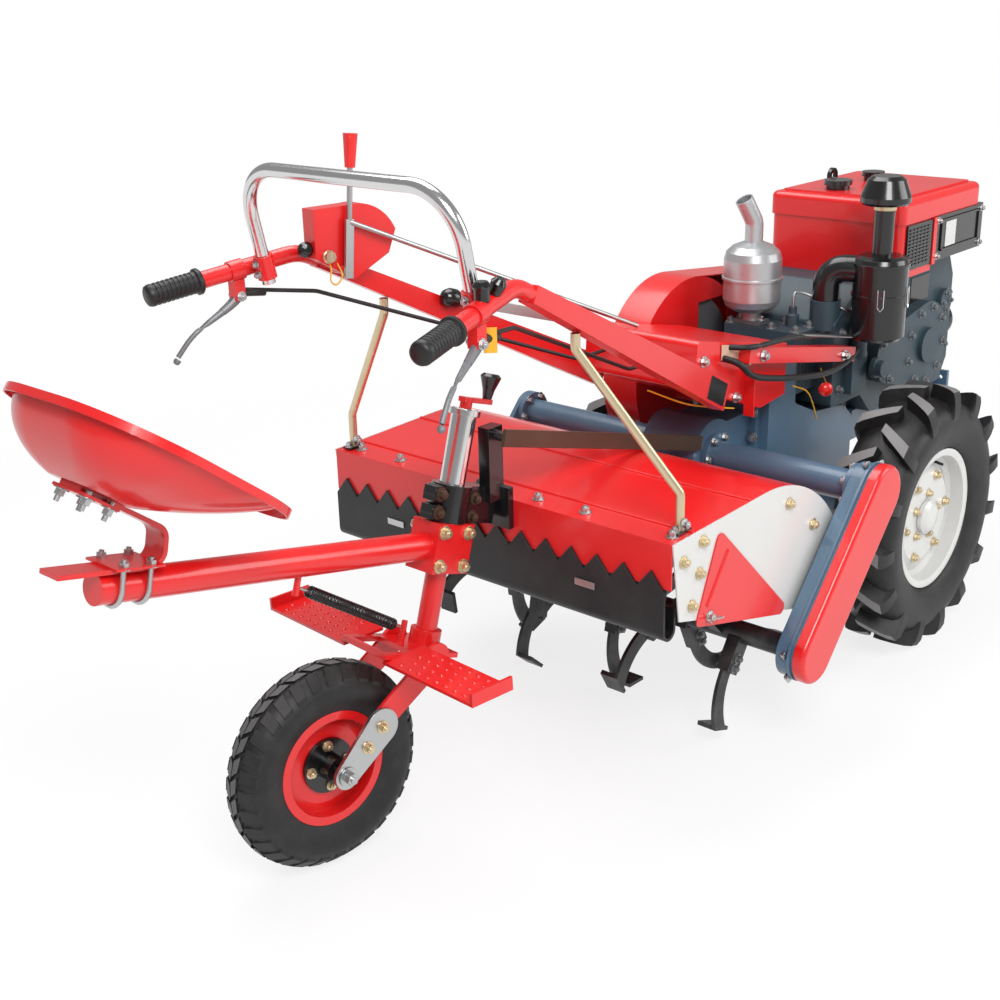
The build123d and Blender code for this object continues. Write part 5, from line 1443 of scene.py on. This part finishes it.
@dataclass
class TillerHood:
    """Fittings of the hood, flap, side plates and chain case; places in millimetres, fasteners in metres."""

    kit: Kit
    rear_x: float = -383.0
    roof_z: float = 612.8
    roof_rise: float = 10.0
    roof_depth: float = 318.0
    right_y: float = -435.0
    left_y: float = 470.0
    side_plate: float = 3.2
    guard: float = 6.0
    hood_bolt: float = 0.0085
    roof_inset: float = 32.0
    bolt_seat: float = 0.2
    roof_bolts: tuple[float, ...] = (420, 299, 150, -90, -209, -413)
    side_bolts: tuple[Pair, ...] = ((-288, 591), (-350, 569), (-297, 529), (-320, 470), (20, 575), (120, 500))
    flap_face: float = -389.0
    strips: tuple[Pair, ...] = ((258, 306), (-262, -214))
    strip_levels: Pair = (478, 492)
    strip_depth: float = 2.5
    backing_levels: Pair = (498, 520.2)
    backing_insets: Pair = (12, 2)
    backing_depth: float = 3.0
    guard_ridge: tuple[Pair, Pair] = ((-203, 548), (-272, 452))
    guard_ridge_radius: float = 0.0035
    roof_ridges: Pair = (-312.0, -118.0)
    roof_ridge_radius: float = 0.004
    ridge_sink: float = 1.2
    ridge_inset: float = 2.0
    wing_foot: Pair = (-263, 428)
    wing_stud: float = 0.008
    wing: Profile = ((0.002, 0.004), (0.02, 0.008), (0.022, 0.02), (0.012, 0.018), (0.004, 0.012))
    wing_depth: float = 0.003
    tube: Pair = (295.0, 533.0)
    tube_flanges: tuple[tuple[float, int], ...] = ((-88, -1), (88, 1), (-435, 1), (470, -1))
    tube_circle: float = 0.043
    tube_bolt: float = 0.0075
    case_x: float = 455.0
    case_half: Pair = (79, 62)
    case_bolt: float = 0.009
    flange_stud: float = 1.2
    rotor: Pair = (35.0, 250.0)
    chain_face: float = -491.0
    case_radius: float = 58.0
    lip_width: float = 5.0
    lip_inset: float = 14.0
    lip_depth: float = 0.007
    lip_seat: float = 0.001
    lip_bolt: float = 0.007
    lip_bolts: tuple[int, ...] = (2, 6, 10, 15, 19, 23)
    stay_feet: tuple[Pair, ...] = ((-325, 24), (-350, -24))
    foot: Point = (22, 12, 4.5)
    foot_lift: float = 0.3
    foot_bolt: float = 0.0065
    foot_bolt_x: float = 15.5
    stay_bolt: float = 0.0075
    stay_bolt_at: Pair = (-9.5, 18)

    def dress(self) -> None:
        """Add the fittings."""
        roof = [(self.rear_x + self.roof_inset, y, self.roof_z + self.bolt_seat) for y in self.roof_bolts]
        self.kit.bolts.place("hood_bolts", bolts_at(roof, UP, self.hood_bolt), Paint.ZINC)
        self.flap()
        right = [(x, self.right_y - self.side_plate, z) for x, z in self.side_bolts]
        left = [(x, self.left_y + self.side_plate, z) for x, z in self.side_bolts]
        sides = bolts_at(right, -LEFT, self.hood_bolt) + bolts_at(left, LEFT, self.hood_bolt)
        self.kit.bolts.place("side_plate_bolts", sides, Paint.YELLOW_ZINC)
        self.creases()
        self.wing_bolts()
        self.flanges()
        self.chain_case()
        self.feet()

    def roof_level(self, x: float) -> float:
        """Height of the sloping roof."""
        return self.roof_z + self.roof_rise * (x - self.rear_x) / self.roof_depth

    def flap(self) -> None:
        """Strips that hold the flap and the rubber behind its edge."""
        bottom, top = self.strip_levels
        strips = Shape()
        for low, high in self.strips:
            strips.box(mm(self.flap_face - self.strip_depth, low, bottom), mm(self.flap_face, high, top))
        strips.piece("flap_strips", Paint.ZINC)
        bottom, top = self.backing_levels
        right, left = self.backing_insets
        backing = Shape().box(mm(self.rear_x, self.right_y + right, bottom),
                              mm(self.rear_x + self.backing_depth, self.left_y - left, top))
        backing.piece("flap_backing", Paint.RUBBER)

    def creases(self) -> None:
        """Pressed ridges on the corner guards and the hood's roof."""
        ridges = Shape()
        for y in (self.right_y - self.guard, self.left_y + self.guard):
            ridges.tube([mm(x, y, z) for x, z in self.guard_ridge], self.guard_ridge_radius)
        for x in self.roof_ridges:
            level = self.roof_level(x) - self.ridge_sink
            ends = (self.right_y + self.ridge_inset, self.left_y - self.ridge_inset)
            ridges.tube([mm(x, y, level) for y in ends], self.roof_ridge_radius)
        ridges.piece("pressed_ridges", Paint.RED)

    def wing_bolts(self) -> None:
        """Wing bolt at the lower corner of each guard."""
        wings, studs = Shape(), []
        x, z = self.wing_foot
        for y, out in ((self.right_y - self.guard, -LEFT), (self.left_y + self.guard, LEFT)):
            foot = mm(x, y, z)
            studs.append(Bolt(foot, out, self.wing_stud))
            for side in SIDES:
                wings.slab(self.wing, foot - UP * (self.wing_depth / 2), AHEAD * side, out, self.wing_depth)
        wings.piece("wing_bolts", Paint.ZINC)
        self.kit.bolts.place("wing_studs", studs, Paint.ZINC)

    def flanges(self) -> None:
        """Flange bolts of the cross tubes and the gear case."""
        x, z = self.tube
        bolts = []
        for y, out in self.tube_flanges:
            bolts += ring_of(mm(x, y, z), LEFT * out, self.tube_circle, 6, self.tube_bolt, 15)
        self.kit.bolts.place("tube_bolts", bolts, Paint.ZINC, stud=self.flange_stud)
        across, up = self.case_half
        spots = [(self.case_x, side * across, z + level) for side in SIDES for level in (-up, 0, up)]
        self.kit.bolts.place("case_flange_bolts", bolts_at(spots, -AHEAD, self.case_bolt), Paint.ZINC,
                             stud=self.flange_stud)

    def chain_case(self) -> None:
        """Lip round the chain case and its bolts."""
        upper, lower = (mm(x, 0, z) for x, z in (self.tube, self.rotor))
        run = (lower - upper).normalized()
        across = Vector((run.z, 0, -run.x))
        radius = (self.case_radius + self.lip_width) / 1000
        outline = []
        for end, base in ((upper, 0), (lower, 180)):
            for step in range(13):
                turn = math.radians(base + 15 * step)
                spot = end - run * (radius * math.sin(turn)) + across * (radius * math.cos(turn))
                outline.append((spot.x, spot.z))
        level = (self.chain_face + self.lip_inset) / 1000
        Shape().slab(outline, LEFT * level, AHEAD, UP, self.lip_depth).piece("chain_case_lip", Paint.BLUE)
        corners = [outline[index] for index in self.lip_bolts]
        bolts = [Bolt((x, level + self.lip_seat, z), LEFT, self.lip_bolt) for x, z in corners]
        self.kit.bolts.place("chain_case_bolts", bolts, Paint.ZINC)

    def feet(self) -> None:
        """Foot plates and bolts of the stays."""
        feet, bolts = Shape(), []
        half_x, half_y, height = self.foot
        for (x, inset), edge in zip(self.stay_feet, (self.right_y, self.left_y)):
            y, level = edge + inset, self.roof_level(x)
            feet.box(mm(x - half_x, y - half_y, level + self.foot_lift),
                     mm(x + half_x, y + half_y, level + height))
            ends = [(x + side * self.foot_bolt_x, y, level + height) for side in (-1, 1)]
            bolts += bolts_at(ends, UP, self.foot_bolt)
            out, up = self.stay_bolt_at
            bolts.append(Bolt(mm(x, y + out, level + up), -LEFT, self.stay_bolt))
        feet.piece("stay_feet", Paint.BLACK)
        self.kit.bolts.place("stay_bolts", bolts, Paint.ZINC)


@dataclass
class Rotor:
    """Bolts of the tine holders; places in millimetres."""

    kit: Kit
    axis: Pair = (35.0, 250.0)
    count: int = 18
    pitch: float = 46.0
    turn: float = 100.0
    start: float = 25.0
    middle_y: float = 17.5
    holder_half: float = 15.0
    radii: Pair = (58.0, 80.0)
    bolt: float = 0.0075

    def dress(self) -> None:
        """Add the bolts."""
        bolts = []
        first = self.middle_y - self.pitch * (self.count - 1) / 2
        for index in range(self.count):
            angle = math.radians(self.turn * index + self.start)
            y = first + self.pitch * index
            for radius in self.radii:
                x, z = self.axis[0] + radius * math.cos(angle), self.axis[1] - radius * math.sin(angle)
                for side in SIDES:
                    bolts.append(Bolt(mm(x, y + side * self.holder_half, z), LEFT * side, self.bolt))
        self.kit.bolts.place("tine_bolts", bolts, Paint.CAST, "rotor")


@dataclass
class Controls:
    """Grips, hand levers, switches and long lever on the handles; places in millimetres, radii in metres."""

    kit: Kit
    bend: Point = (-615.0, 272.0, 1108.0)
    grip: Point = (-915.0, 344.0, 1065.0)
    grip_start: Profile = ((0.0, 0.014), (0.0025, 0.0185), (0.008, 0.0205))
    grip_end: Profile = ((0.0965, 0.0205), (0.098, 0.0245), (0.1045, 0.0245), (0.108, 0.021), (0.108, 0.0164))
    groove_count: int = 9
    groove_first: float = 0.014
    groove_pitch: float = 0.0088
    groove: Profile = ((0.0, 0.0205), (0.0012, 0.0190), (0.0036, 0.0190), (0.0048, 0.0205))
    lever_x: float = -743.0
    blade: Route = ((8, 0, 1046), (-14, 3, 1027), (-50, 12, 1006), (-92, 24, 982), (-122, 34, 944))
    blade_bend: float = 0.03
    blade_radius: float = 0.0105
    blade_taper: float = 0.0058
    taper_share: float = 0.6
    blade_ball: Profile = ((0.0, 0.006), (0.004, 0.0068), (0.008, 0.006), (0.0105, 0.003))
    ball_sink: float = 0.004
    clamp: Pair = (0.014, 0.0195)
    perch_half: float = 11.0
    perch_levels: Pair = (1034, 1073)
    pivot_level: float = 1042.0
    pivot: float = 0.0065
    cable_end: Route = ((6, 0, 1047), (58, -7, 1040))
    cable_end_radius: float = 0.0075
    key: Turned = Turned(
        ((0, 0.013), (0.016, 0.013), (0.018, 0.010), (0.026, 0.010)), (-585, 229, 1098), (-0.3, -1, 0.1))
    key_tongue: Point = (0.009, 0.002, 0.012)
    key_tongue_at: Point = (-592, 204, 1101)
    quadrant_knob: Turned = Turned(
        ((0, 0.006), (0.014, 0.006), (0.015, 0.012), (0.024, 0.015), (0.031, 0.010), (0.033, 0.003)),
        (-615, 256, 1112), (-0.5, -0.8, 0.2))
    round_knob: Turned = Turned(
        ((0, 0.013), (0.016, 0.013), (0.024, 0.017), (0.032, 0.010)), (-726, -300, 1107))
    toggle: Turned = Turned(((0, 0.011), (0.02, 0.014), (0.028, 0.008)), (-690, -293, 1112), (0.2, -0.5, 1))
    tag: Point = (0.011, 0.042, 0.0015)
    tag_at: Point = (-712, -303, 1062)
    tag_across: Point = (0.7, -0.7, 0)
    tag_loop: BentBar = BentBar(
        ((-588, 226, 1098), (-592, 206, 1080), (-604, 200, 1056), (-588, 199, 1046), (-566, 203, 1062),
         (-572, 218, 1092)), 0.0017, 0.012, 6, 5)
    sleeve: Point = (-723, 263, 1092)
    sleeve_half: float = 10.0
    sleeve_lean: float = 0.2
    sleeve_bolt: float = 0.0055
    clutch: Route = ((196, 136, 822), (-262, 196, 962))
    clutch_half: Pair = (0.003, 0.011)
    clutch_knob: Profile = (
        (0.0, 0.007), (0.008, 0.015), (0.022, 0.0205), (0.038, 0.0205), (0.05, 0.015), (0.056, 0.006))
    knob_seat: float = 0.012

    def dress(self) -> None:
        """Add the controls."""
        self.grips()
        self.levers()
        self.switches()
        self.labels()
        self.long_lever()

    def along(self, side: int) -> Vector:
        """Direction from a grip's end to the bend of its handle."""
        run = Vector(self.bend) - Vector(self.grip)
        return Vector((run.x, side * run.y, run.z)).normalized()

    def grips(self) -> None:
        """Ribbed rubber grips with an end flange."""
        profile = list(self.grip_start)
        for index in range(self.groove_count):
            base = self.groove_first + index * self.groove_pitch
            profile += [(base + level, radius) for level, radius in self.groove]
        profile += self.grip_end
        shape = Shape()
        for side in SIDES:
            end = mm(self.grip[0], side * self.grip[1], self.grip[2])
            shape.lathe(profile, end, self.along(side), 36)
        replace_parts(shape.piece("ribbed_grips", Paint.RUBBER, angle=50.0), "grips")

    def levers(self) -> None:
        """Curved hand levers with their perches, clamps and cable ends."""
        blades, clamps, ends, pins = Shape(), Shape(), Shape(), []
        length, reach = self.bend[0] - self.grip[0], self.bend[0] - self.lever_x
        post_y = self.bend[1] + (self.grip[1] - self.bend[1]) * reach / length
        top = self.bend[2] - (self.bend[2] - self.grip[2]) / length * reach
        half = self.perch_half
        bottom, lid = self.perch_levels
        half_clamp, radius = self.clamp
        for side in SIDES:
            self.lever_blade(blades, [(self.lever_x + x, side * (post_y + y), z) for x, y, z in self.blade])
            y = side * post_y
            clamps.lathe([(-half_clamp, radius), (half_clamp, radius)], mm(self.lever_x, y, top),
                         self.along(side), 28)
            clamps.box(mm(self.lever_x - half, y - half, bottom), mm(self.lever_x + half, y + half, lid))
            cable = [mm(self.lever_x + x, side * (post_y + out), z) for x, out, z in self.cable_end]
            ends.tube(cable, self.cable_end_radius, 12)
            pins.append(Bolt(mm(self.lever_x, y - half, self.pivot_level), -LEFT, self.pivot))
            pins.append(Bolt(mm(self.lever_x, y + half, self.pivot_level), LEFT, self.pivot))
        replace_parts(blades.piece("hand_lever_blades", Paint.CAST), "hand_levers")
        clamps.piece("lever_clamps", Paint.RED)
        ends.piece("cable_ends", Paint.RUBBER)
        self.kit.bolts.place("lever_pins", pins, Paint.ZINC)

    def lever_blade(self, blades: Shape, line: Route) -> None:
        """Add one tapering blade with its end ball.

        Args:
            blades: Takes the blade.
            line: Corners of its middle line in millimetres.
        """
        path = round_path(line, self.blade_bend, 5)
        shares = [min(1.0, i / (len(path) * self.taper_share)) for i in range(len(path))]
        blades.tube(path, [self.blade_radius - self.blade_taper * share for share in shares])
        blades.lathe(self.blade_ball, path[-1] - UP * self.ball_sink, path[-1] - path[-2], 10)

    def switches(self) -> None:
        """Key switch and knob at the quadrant, black controls on the right handle."""
        across, up, depth = self.key_tongue
        key = Shape().gather(self.key)
        key.slab(rectangle(-across, across, -up, up), mm(*self.key_tongue_at), UP, AHEAD, depth)
        key.piece("key_switch", Paint.YELLOW_ZINC)
        knobs = Shape().gather(self.quadrant_knob, self.round_knob, self.toggle)
        knobs.piece("switch_knobs", Paint.BLACK_PLASTIC)

    def labels(self) -> None:
        """Yellow tag with its loop of wire, and the bolts of the sleeves."""
        half, drop, depth = self.tag
        tag = Shape().slab(rectangle(-half, half, 0, -drop), mm(*self.tag_at), self.tag_across, UP, depth)
        tag.gather(self.tag_loop).piece("yellow_tag", Paint.YELLOW)
        x, y, z = self.sleeve
        levels = (-self.sleeve_half, self.sleeve_half)
        spots = [(x - up * self.sleeve_lean, side * y, z + up) for side in SIDES for up in levels]
        bolts = bolts_at(spots, (-1, 0, -self.sleeve_lean), self.sleeve_bolt)
        self.kit.bolts.place("sleeve_bolts", bolts, Paint.ZINC)

    def long_lever(self) -> None:
        """Long flat clutch lever beside the left beam, with its oval knob."""
        foot, tip = (mm(*p) for p in self.clutch)
        run = (tip - foot).normalized()
        side = UP.cross(run).normalized()
        across, up = self.clutch_half
        outline = rectangle(-across, across, -up, up)
        lever = Shape().slab(outline, foot, side, run.cross(side), (tip - foot).length)
        lever.piece("clutch_lever", Paint.ZINC)
        knob = Shape().lathe(self.clutch_knob, tip - run * self.knob_seat, run, 28)
        knob.piece("clutch_knob", Paint.BLACK_PLASTIC, angle=60.0)


@dataclass
class Console:
    """Blank plate, cable loops and bolts on the console and its rail; places in millimetres."""

    kit: Kit
    face_y: float = -150.0
    beam_front: Point = (175.0, -166.0, 718.0)
    beam_bend: Point = (-615.0, -272.0, 1108.0)
    beam_width: float = 32.0
    plate: tuple[float, float, float, float] = (-0.098, -0.012, -0.025, 0.025)
    plate_depth: float = 0.0016
    plate_seat: float = 0.0002
    flange_x: Pair = (296, 301)
    flange_z: Pair = (640, 745)
    flange_width: float = 26.0
    upper_loop: BentBar = BentBar(
        ((228, -150, 812), (250, -190, 812), (330, -190, 806), (440, -190, 800), (540, -180, 778),
         (640, -152, 760)), 0.0065, 0.05)
    lower_loop: BentBar = BentBar(
        ((205, -150, 792), (215, -190, 785), (262, -190, 742), (414, -190, 706), (602, -186, 674),
         (730, -180, 682), (800, -166, 706)), 0.0075, 0.06)
    rear_wire: BentBar = BentBar(
        ((-30, -120, 768), (60, -152, 722), (166, -154, 690), (250, -154, 668)), 0.0018, 0.04, 6)
    front_wire: BentBar = BentBar(
        ((496, -158, 664), (560, -163, 640), (592, -163, 590), (612, -160, 556)), 0.0018, 0.03, 6)
    ball_string: BentBar = BentBar(((590, -176, 690), (628, -172, 644)), 0.0012, sides=6)
    ball: Turned = Turned(((-0.009, 0.004), (-0.007, 0.012), (0.0, 0.0175), (0.007, 0.012), (0.009, 0.004)),
                          (628, -172, 628), (-0.7, -0.7, 0.1))
    paper: Profile = ((0, 0), (0.078, -0.0168), (0.078, -0.0518), (0, -0.035))
    paper_at: Point = (196, -1.5, 824)
    paper_depth: float = 0.0012
    throttle: BentBar = BentBar(((452, -188, 800), (722, -188, 742)), 0.0035, sides=8)
    face_bolts: tuple[Pair, ...] = ((130, 800), (180, 712), (262, 690), (300, 765))
    face_bolt: float = 0.0085
    rail_bolts: tuple[Pair, ...] = ((320, 778), (690, 702))
    rail_bolt: float = 0.009
    rail_out: float = 32.0

    def dress(self) -> None:
        """Add the fittings."""
        self.plates()
        Shape().gather(self.upper_loop, self.lower_loop).piece("cable_loops", Paint.RUBBER)
        wires = Shape().gather(self.rear_wire, self.front_wire, self.ball_string)
        wires.piece("yellow_wires", Paint.YELLOW)
        Shape().gather(self.ball).piece("tag_ball", Paint.RED_PLASTIC, angle=60.0)
        x, out, z = self.paper_at
        paper = Shape().slab(self.paper, mm(x, self.face_y + out, z), AHEAD, UP, self.paper_depth)
        paper.piece("blank_paper", Paint.PAPER)
        Shape().gather(self.throttle).piece("throttle_rod", Paint.ZINC)
        face = [(x, self.face_y, z) for x, z in self.face_bolts]
        rail = [(x, self.face_y - self.rail_out, z) for x, z in self.rail_bolts]
        bolts = bolts_at(face, -LEFT, self.face_bolt) + bolts_at(rail, -LEFT, self.rail_bolt)
        self.kit.bolts.place("console_bolts", bolts, Paint.ZINC)

    def plates(self) -> None:
        """Blank plate on the right handle beam and the console's flange."""
        fall = (mm(*self.beam_front) - mm(*self.beam_bend)).normalized()
        left = UP.cross(fall).normalized()
        face = mm(*self.beam_front) - left * (self.beam_width / 2000 - self.plate_seat)
        plate = Shape().slab(rectangle(*self.plate), face, fall, fall.cross(left), self.plate_depth)
        plate.piece("blank_plate", Paint.BLACK)
        (back, front), (low, high) = self.flange_x, self.flange_z
        flange = Shape().box(mm(back, self.face_y - self.flange_width, low), mm(front, self.face_y, high))
        flange.piece("console_flange", Paint.RED)


@dataclass
class Engine:
    """What the engine's solids leave out; places in millimetres, radii and fasteners in metres."""

    kit: Kit
    right_y: float = -150.0
    tank_y: float = -205.0
    slot_first: Pair = (934.0, 880.0)
    slot_pitch: Pair = (19.0, 8.8)
    slot_size: Pair = (13.0, 3.6)
    slot_counts: tuple[int, int] = (6, 11)
    slot_out: Pair = (8.4, 6.0)
    strip_x: Pair = (1060.5, 1078)
    strip_z: Pair = (866, 985)
    strip_out: Pair = (9.0, 0.2)
    shroud_out: float = 8.0
    label_x: Pair = (1128, 1186)
    label_z: Pair = (902, 966)
    label_depth: float = 1.6
    frame_x: Pair = (1100, 1320)
    frame_z: Pair = (895, 975)
    frame_bar: float = 5.0
    frame_depth: float = 4.0
    grille_x: Pair = (1357, 1361)
    grille_z: Pair = (884, 976)
    grille_first: float = -196.0
    grille_pitch: float = 26.0
    grille_width: float = 10.0
    grille_count: int = 14
    shroud_bolts: tuple[Pair, Pair] = ((1086, 1336), (884, 974))
    shroud_bolt: float = 0.006
    cleaner: Pair = (760.0, -228.0)
    cleaner_radius: float = 0.065
    cleaner_seams: Pair = (846, 920)
    cleaner_seam: Point = (0.0025, 0.004, 0.003)
    cleaner_ring: Turned = Turned(
        ((0, 0.0235), (0.001, 0.0265), (0.012, 0.0265), (0.013, 0.0235)), (760, -228, 1046), steps=32)
    clip_angles: tuple[float, ...] = (-150, -75, 60)
    clip: Profile = ((-0.007, 0.868), (-0.007, 0.826), (0.0, 0.817), (0.007, 0.826), (0.007, 0.868))
    clip_out: float = 0.003
    clip_wire: float = 0.0016
    muffler: Pair = (638.0, 52.0)
    muffler_radius: float = 0.071
    muffler_seam: Point = (0.004, 0.005, 0.003)
    muffler_seam_z: float = 874.0
    muffler_flange: Point = (0.038, 0.024, 0.010)
    muffler_foot: float = 760.2
    muffler_nut: float = 0.007
    muffler_nut_at: Pair = (30, 770)
    seam_sink: float = 0.002
    cover_at: Pair = (1125, 640)
    cover_out: float = 36.0
    cover_circle: float = 0.1
    cover_bolt: float = 0.0075
    cover_bolts: tuple[Pair, ...] = ((880, 690), (880, 612), (925, 590))
    cap_at: Point = (1273, 16, 727)
    cap_reach: float = 22.0
    cap_bolt: float = 0.006
    block_bolts: tuple[Pair, Pair] = ((730, 1310), (600, 745))
    block_bolt: float = 0.008
    head_x: Pair = (616, 680)
    head_y: tuple[float, ...] = (-88, -20, 96)
    head_z: float = 760.0
    head_nut: float = 0.009
    plate_x: Pair = (1085, 1188)
    plate_z: Pair = (752, 818)
    plate_depth: float = 1.8
    rib_count: int = 5
    rib_x: Pair = (612, 617)
    rib_pitch: float = 17.0
    rib_half: float = 107.0
    rib_z: Pair = (622, 752)
    lamp: Turned = Turned(((-0.05, 0.02), (-0.035, 0.042), (0.0, 0.052), (0.012, 0.052), (0.013, 0.044)),
                          (1352, -96, 655), (1, 0, 0), 36)
    lamp_arm: tuple[Point, Point] = ((1328, -104, 600), (1340, -88, 650))
    pump: Turned = Turned(((0, 0.022), (0.05, 0.022), (0.052, 0.014), (0.074, 0.014)), (792, -164, 676))
    injector: Turned = Turned(
        ((0, 0.016), (0.03, 0.016), (0.034, 0.01), (0.05, 0.01)), (668, -48, 758), steps=20)
    governor: Turned = Turned(
        ((0, 0.026), (0.012, 0.026), (0.014, 0.02), (0.03, 0.02)), (838, -186, 640), (0, -1, 0))
    high_pipe: BentBar = BentBar(
        ((792, -164, 748), (792, -164, 776), (740, -156, 800), (690, -52, 842), (668, -48, 842),
         (668, -48, 806)), 0.0035, 0.02, 8)
    feed_pipe: BentBar = BentBar(
        ((936, -160, 852), (900, -166, 800), (846, -166, 760), (800, -166, 724)), 0.005, 0.03, 8)
    hose: BentBar = BentBar(
        ((1040, -158, 700), (1000, -176, 760), (980, -170, 820), (985, -160, 856)), 0.009, 0.04)

    def dress(self) -> None:
        """Add the parts by group."""
        self.louvres()
        self.shroud()
        self.cleaner_trim()
        self.muffler_trim()
        self.block()
        self.block_trim()
        self.pipes()

    def panel(self, name: str, paint: Paint, x: Pair, y: Pair, z: Pair) -> None:
        """Add a plain square panel.

        Args:
            name: Piece name.
            paint: Its finish.
            x: Rear and front.
            y: Right and left.
            z: Bottom and top.
        """
        Shape().box(mm(x[0], y[0], z[0]), mm(x[1], y[1], z[1])).piece(name, paint)

    def louvres(self) -> None:
        """Black boxes as painted shade in each pressed slot of the tank's side plate, in rows, and a red
        strip beside it.
        """
        slot_shades = []
        outer, inner = (self.tank_y - out for out in self.slot_out)
        for column in range(self.slot_counts[0]):
            for row in range(self.slot_counts[1]):
                x = self.slot_first[0] + column * self.slot_pitch[0]
                z = self.slot_first[1] + row * self.slot_pitch[1]
                slot_shades.append((mm(x, outer, z), mm(x + self.slot_size[0], inner, z + self.slot_size[1])))
        # black boxes: painted shade inside the pressed slot openings
        self.kit.slats.place("louvre_slot_shade", slot_shades, Paint.BLACK)
        outer, inner = (self.tank_y - out for out in self.strip_out)
        self.panel("red_strip", Paint.RED, self.strip_x, (outer, inner), self.strip_z)

    def shroud(self) -> None:
        """Blank label place, grille slats and bolts of the black shroud."""
        face = self.tank_y - self.shroud_out
        self.panel("blank_label", Paint.WHITE, self.label_x, (face - self.label_depth, face), self.label_z)
        (rear, front), (low, high) = self.frame_x, self.frame_z
        bar, outer = self.frame_bar, face - self.frame_depth
        bars = [(mm(rear, outer, z), mm(front, face, z + bar)) for z in (low, high - bar)]
        bars += [(mm(x, outer, low), mm(x + bar, face, high)) for x in (rear, front - bar)]
        for index in range(self.grille_count):
            y = self.grille_first + self.grille_pitch * index
            bars.append((mm(self.grille_x[0], y, self.grille_z[0]),
                         mm(self.grille_x[1], y + self.grille_width, self.grille_z[1])))
        self.kit.slats.place("shroud_frame", bars, Paint.BLACK)
        spots = [(x, face, z) for x in self.shroud_bolts[0] for z in self.shroud_bolts[1]]
        self.kit.bolts.place("shroud_bolts", bolts_at(spots, -LEFT, self.shroud_bolt), Paint.ZINC)

    def seam(self, radius: float, size: Point) -> Profile:
        """Section of a rolled seam round a can.

        Args:
            radius: Radius of the can.
            size: How far the seam stands out, and half its height at the foot and at the top.

        Returns:
            The section, from below.
        """
        rise, foot, top = size
        low, high = radius - self.seam_sink, radius + rise
        return [(-foot, low), (-top, high), (top, high), (foot, low)]

    def cleaner_trim(self) -> None:
        """Seams, clips and brass ring of the air cleaner."""
        x, y = self.cleaner
        seams = Shape()
        for z in self.cleaner_seams:
            seams.lathe(self.seam(self.cleaner_radius, self.cleaner_seam), mm(x, y, z), UP, 48)
        seams.piece("cleaner_seams", Paint.BLACK)
        Shape().gather(self.cleaner_ring).piece("cleaner_ring", Paint.YELLOW_ZINC)
        clips = Shape()
        for angle in self.clip_angles:
            out = spoke(AHEAD, LEFT, math.radians(angle))
            base = mm(x, y, 0) + out * (self.cleaner_radius + self.clip_out)
            side = UP.cross(out)
            clips.tube([base + UP * level + side * across for across, level in self.clip], self.clip_wire, 6)
        clips.piece("cleaner_clips", Paint.CHROME)

    def muffler_trim(self) -> None:
        """Seam and flange of the muffler."""
        x, y = self.muffler
        section = self.seam(self.muffler_radius, self.muffler_seam)
        Shape().lathe(section, mm(x, y, self.muffler_seam_z), UP, 56).piece("muffler_seam", Paint.SILVER)
        across, up, depth = self.muffler_flange
        outline = rectangle(-across, across, -up, up)
        flange = Shape().slab(outline, mm(x, y, self.muffler_foot), LEFT, -AHEAD, depth)
        flange.piece("muffler_flange", Paint.CAST)
        out, z = self.muffler_nut_at
        nuts = bolts_at([(x, y + side * out, z) for side in SIDES], UP, self.muffler_nut)
        self.kit.bolts.place("muffler_nuts", nuts, Paint.ZINC)

    def block(self) -> None:
        """Cover bolts and head nuts."""
        x, z = self.cover_at
        cover = self.right_y - self.cover_out
        bolts = ring_of(mm(x, cover, z), -LEFT, self.cover_circle, 9, self.cover_bolt, 10)
        bolts += bolts_at([(x, cover, z) for x, z in self.cover_bolts], -LEFT, self.cover_bolt)
        x, out, z = self.cap_at
        reach = self.cap_reach
        cap = [(x + ahead, self.right_y - out, z + up)
               for ahead, up in ((reach, 0), (-reach, 0), (0, reach), (0, -reach))]
        bolts += bolts_at(cap, -LEFT, self.cap_bolt)
        sides = [(x, self.right_y, z) for x in self.block_bolts[0] for z in self.block_bolts[1]]
        bolts += bolts_at(sides, -LEFT, self.block_bolt)
        bolts += bolts_at([(x, y, self.head_z) for x in self.head_x for y in self.head_y], UP, self.head_nut)
        self.kit.bolts.place("engine_bolts", bolts, Paint.CAST)

    def block_trim(self) -> None:
        """Blank plate, ribs of the head and the work lamp."""
        face = (self.right_y - self.plate_depth, self.right_y)
        self.panel("engine_plate", Paint.BLACK, self.plate_x, face, self.plate_z)
        ribs = []
        for index in range(self.rib_count):
            rear, front = (x + index * self.rib_pitch for x in self.rib_x)
            ribs.append((mm(rear, -self.rib_half, self.rib_z[0]), mm(front, self.rib_half, self.rib_z[1])))
        self.kit.slats.place("head_ribs", ribs, Paint.ENGINE)
        lamp = Shape().gather(self.lamp).box(*(mm(*corner) for corner in self.lamp_arm))
        lamp.piece("work_lamp", Paint.BLACK)

    def pipes(self) -> None:
        """Injection pump, injector, governor, fuel pipes and water hose."""
        Shape().gather(self.pump, self.injector, self.governor).piece("injection_pump", Paint.ENGINE)
        Shape().gather(self.high_pipe, self.feed_pipe).piece("fuel_pipes", Paint.ZINC)
        Shape().gather(self.hose).piece("water_hose", Paint.RUBBER)


def main() -> None:
    """Build the scene in order."""
    logging.basicConfig(level=logging.INFO, format="%(message)s")
    Stage().build()
    Paintwork().dress()
    kit = Kit()
    gear = TailGear(kit)
    for group in (DriveWheel("left", 1, kit), DriveWheel("right", -1, kit), gear, SeatMount(kit, gear),
                  TillerHood(kit), Rotor(kit), Controls(kit), Console(kit), Engine(kit)):
        group.dress()


if __name__ == "__main__":
    main()
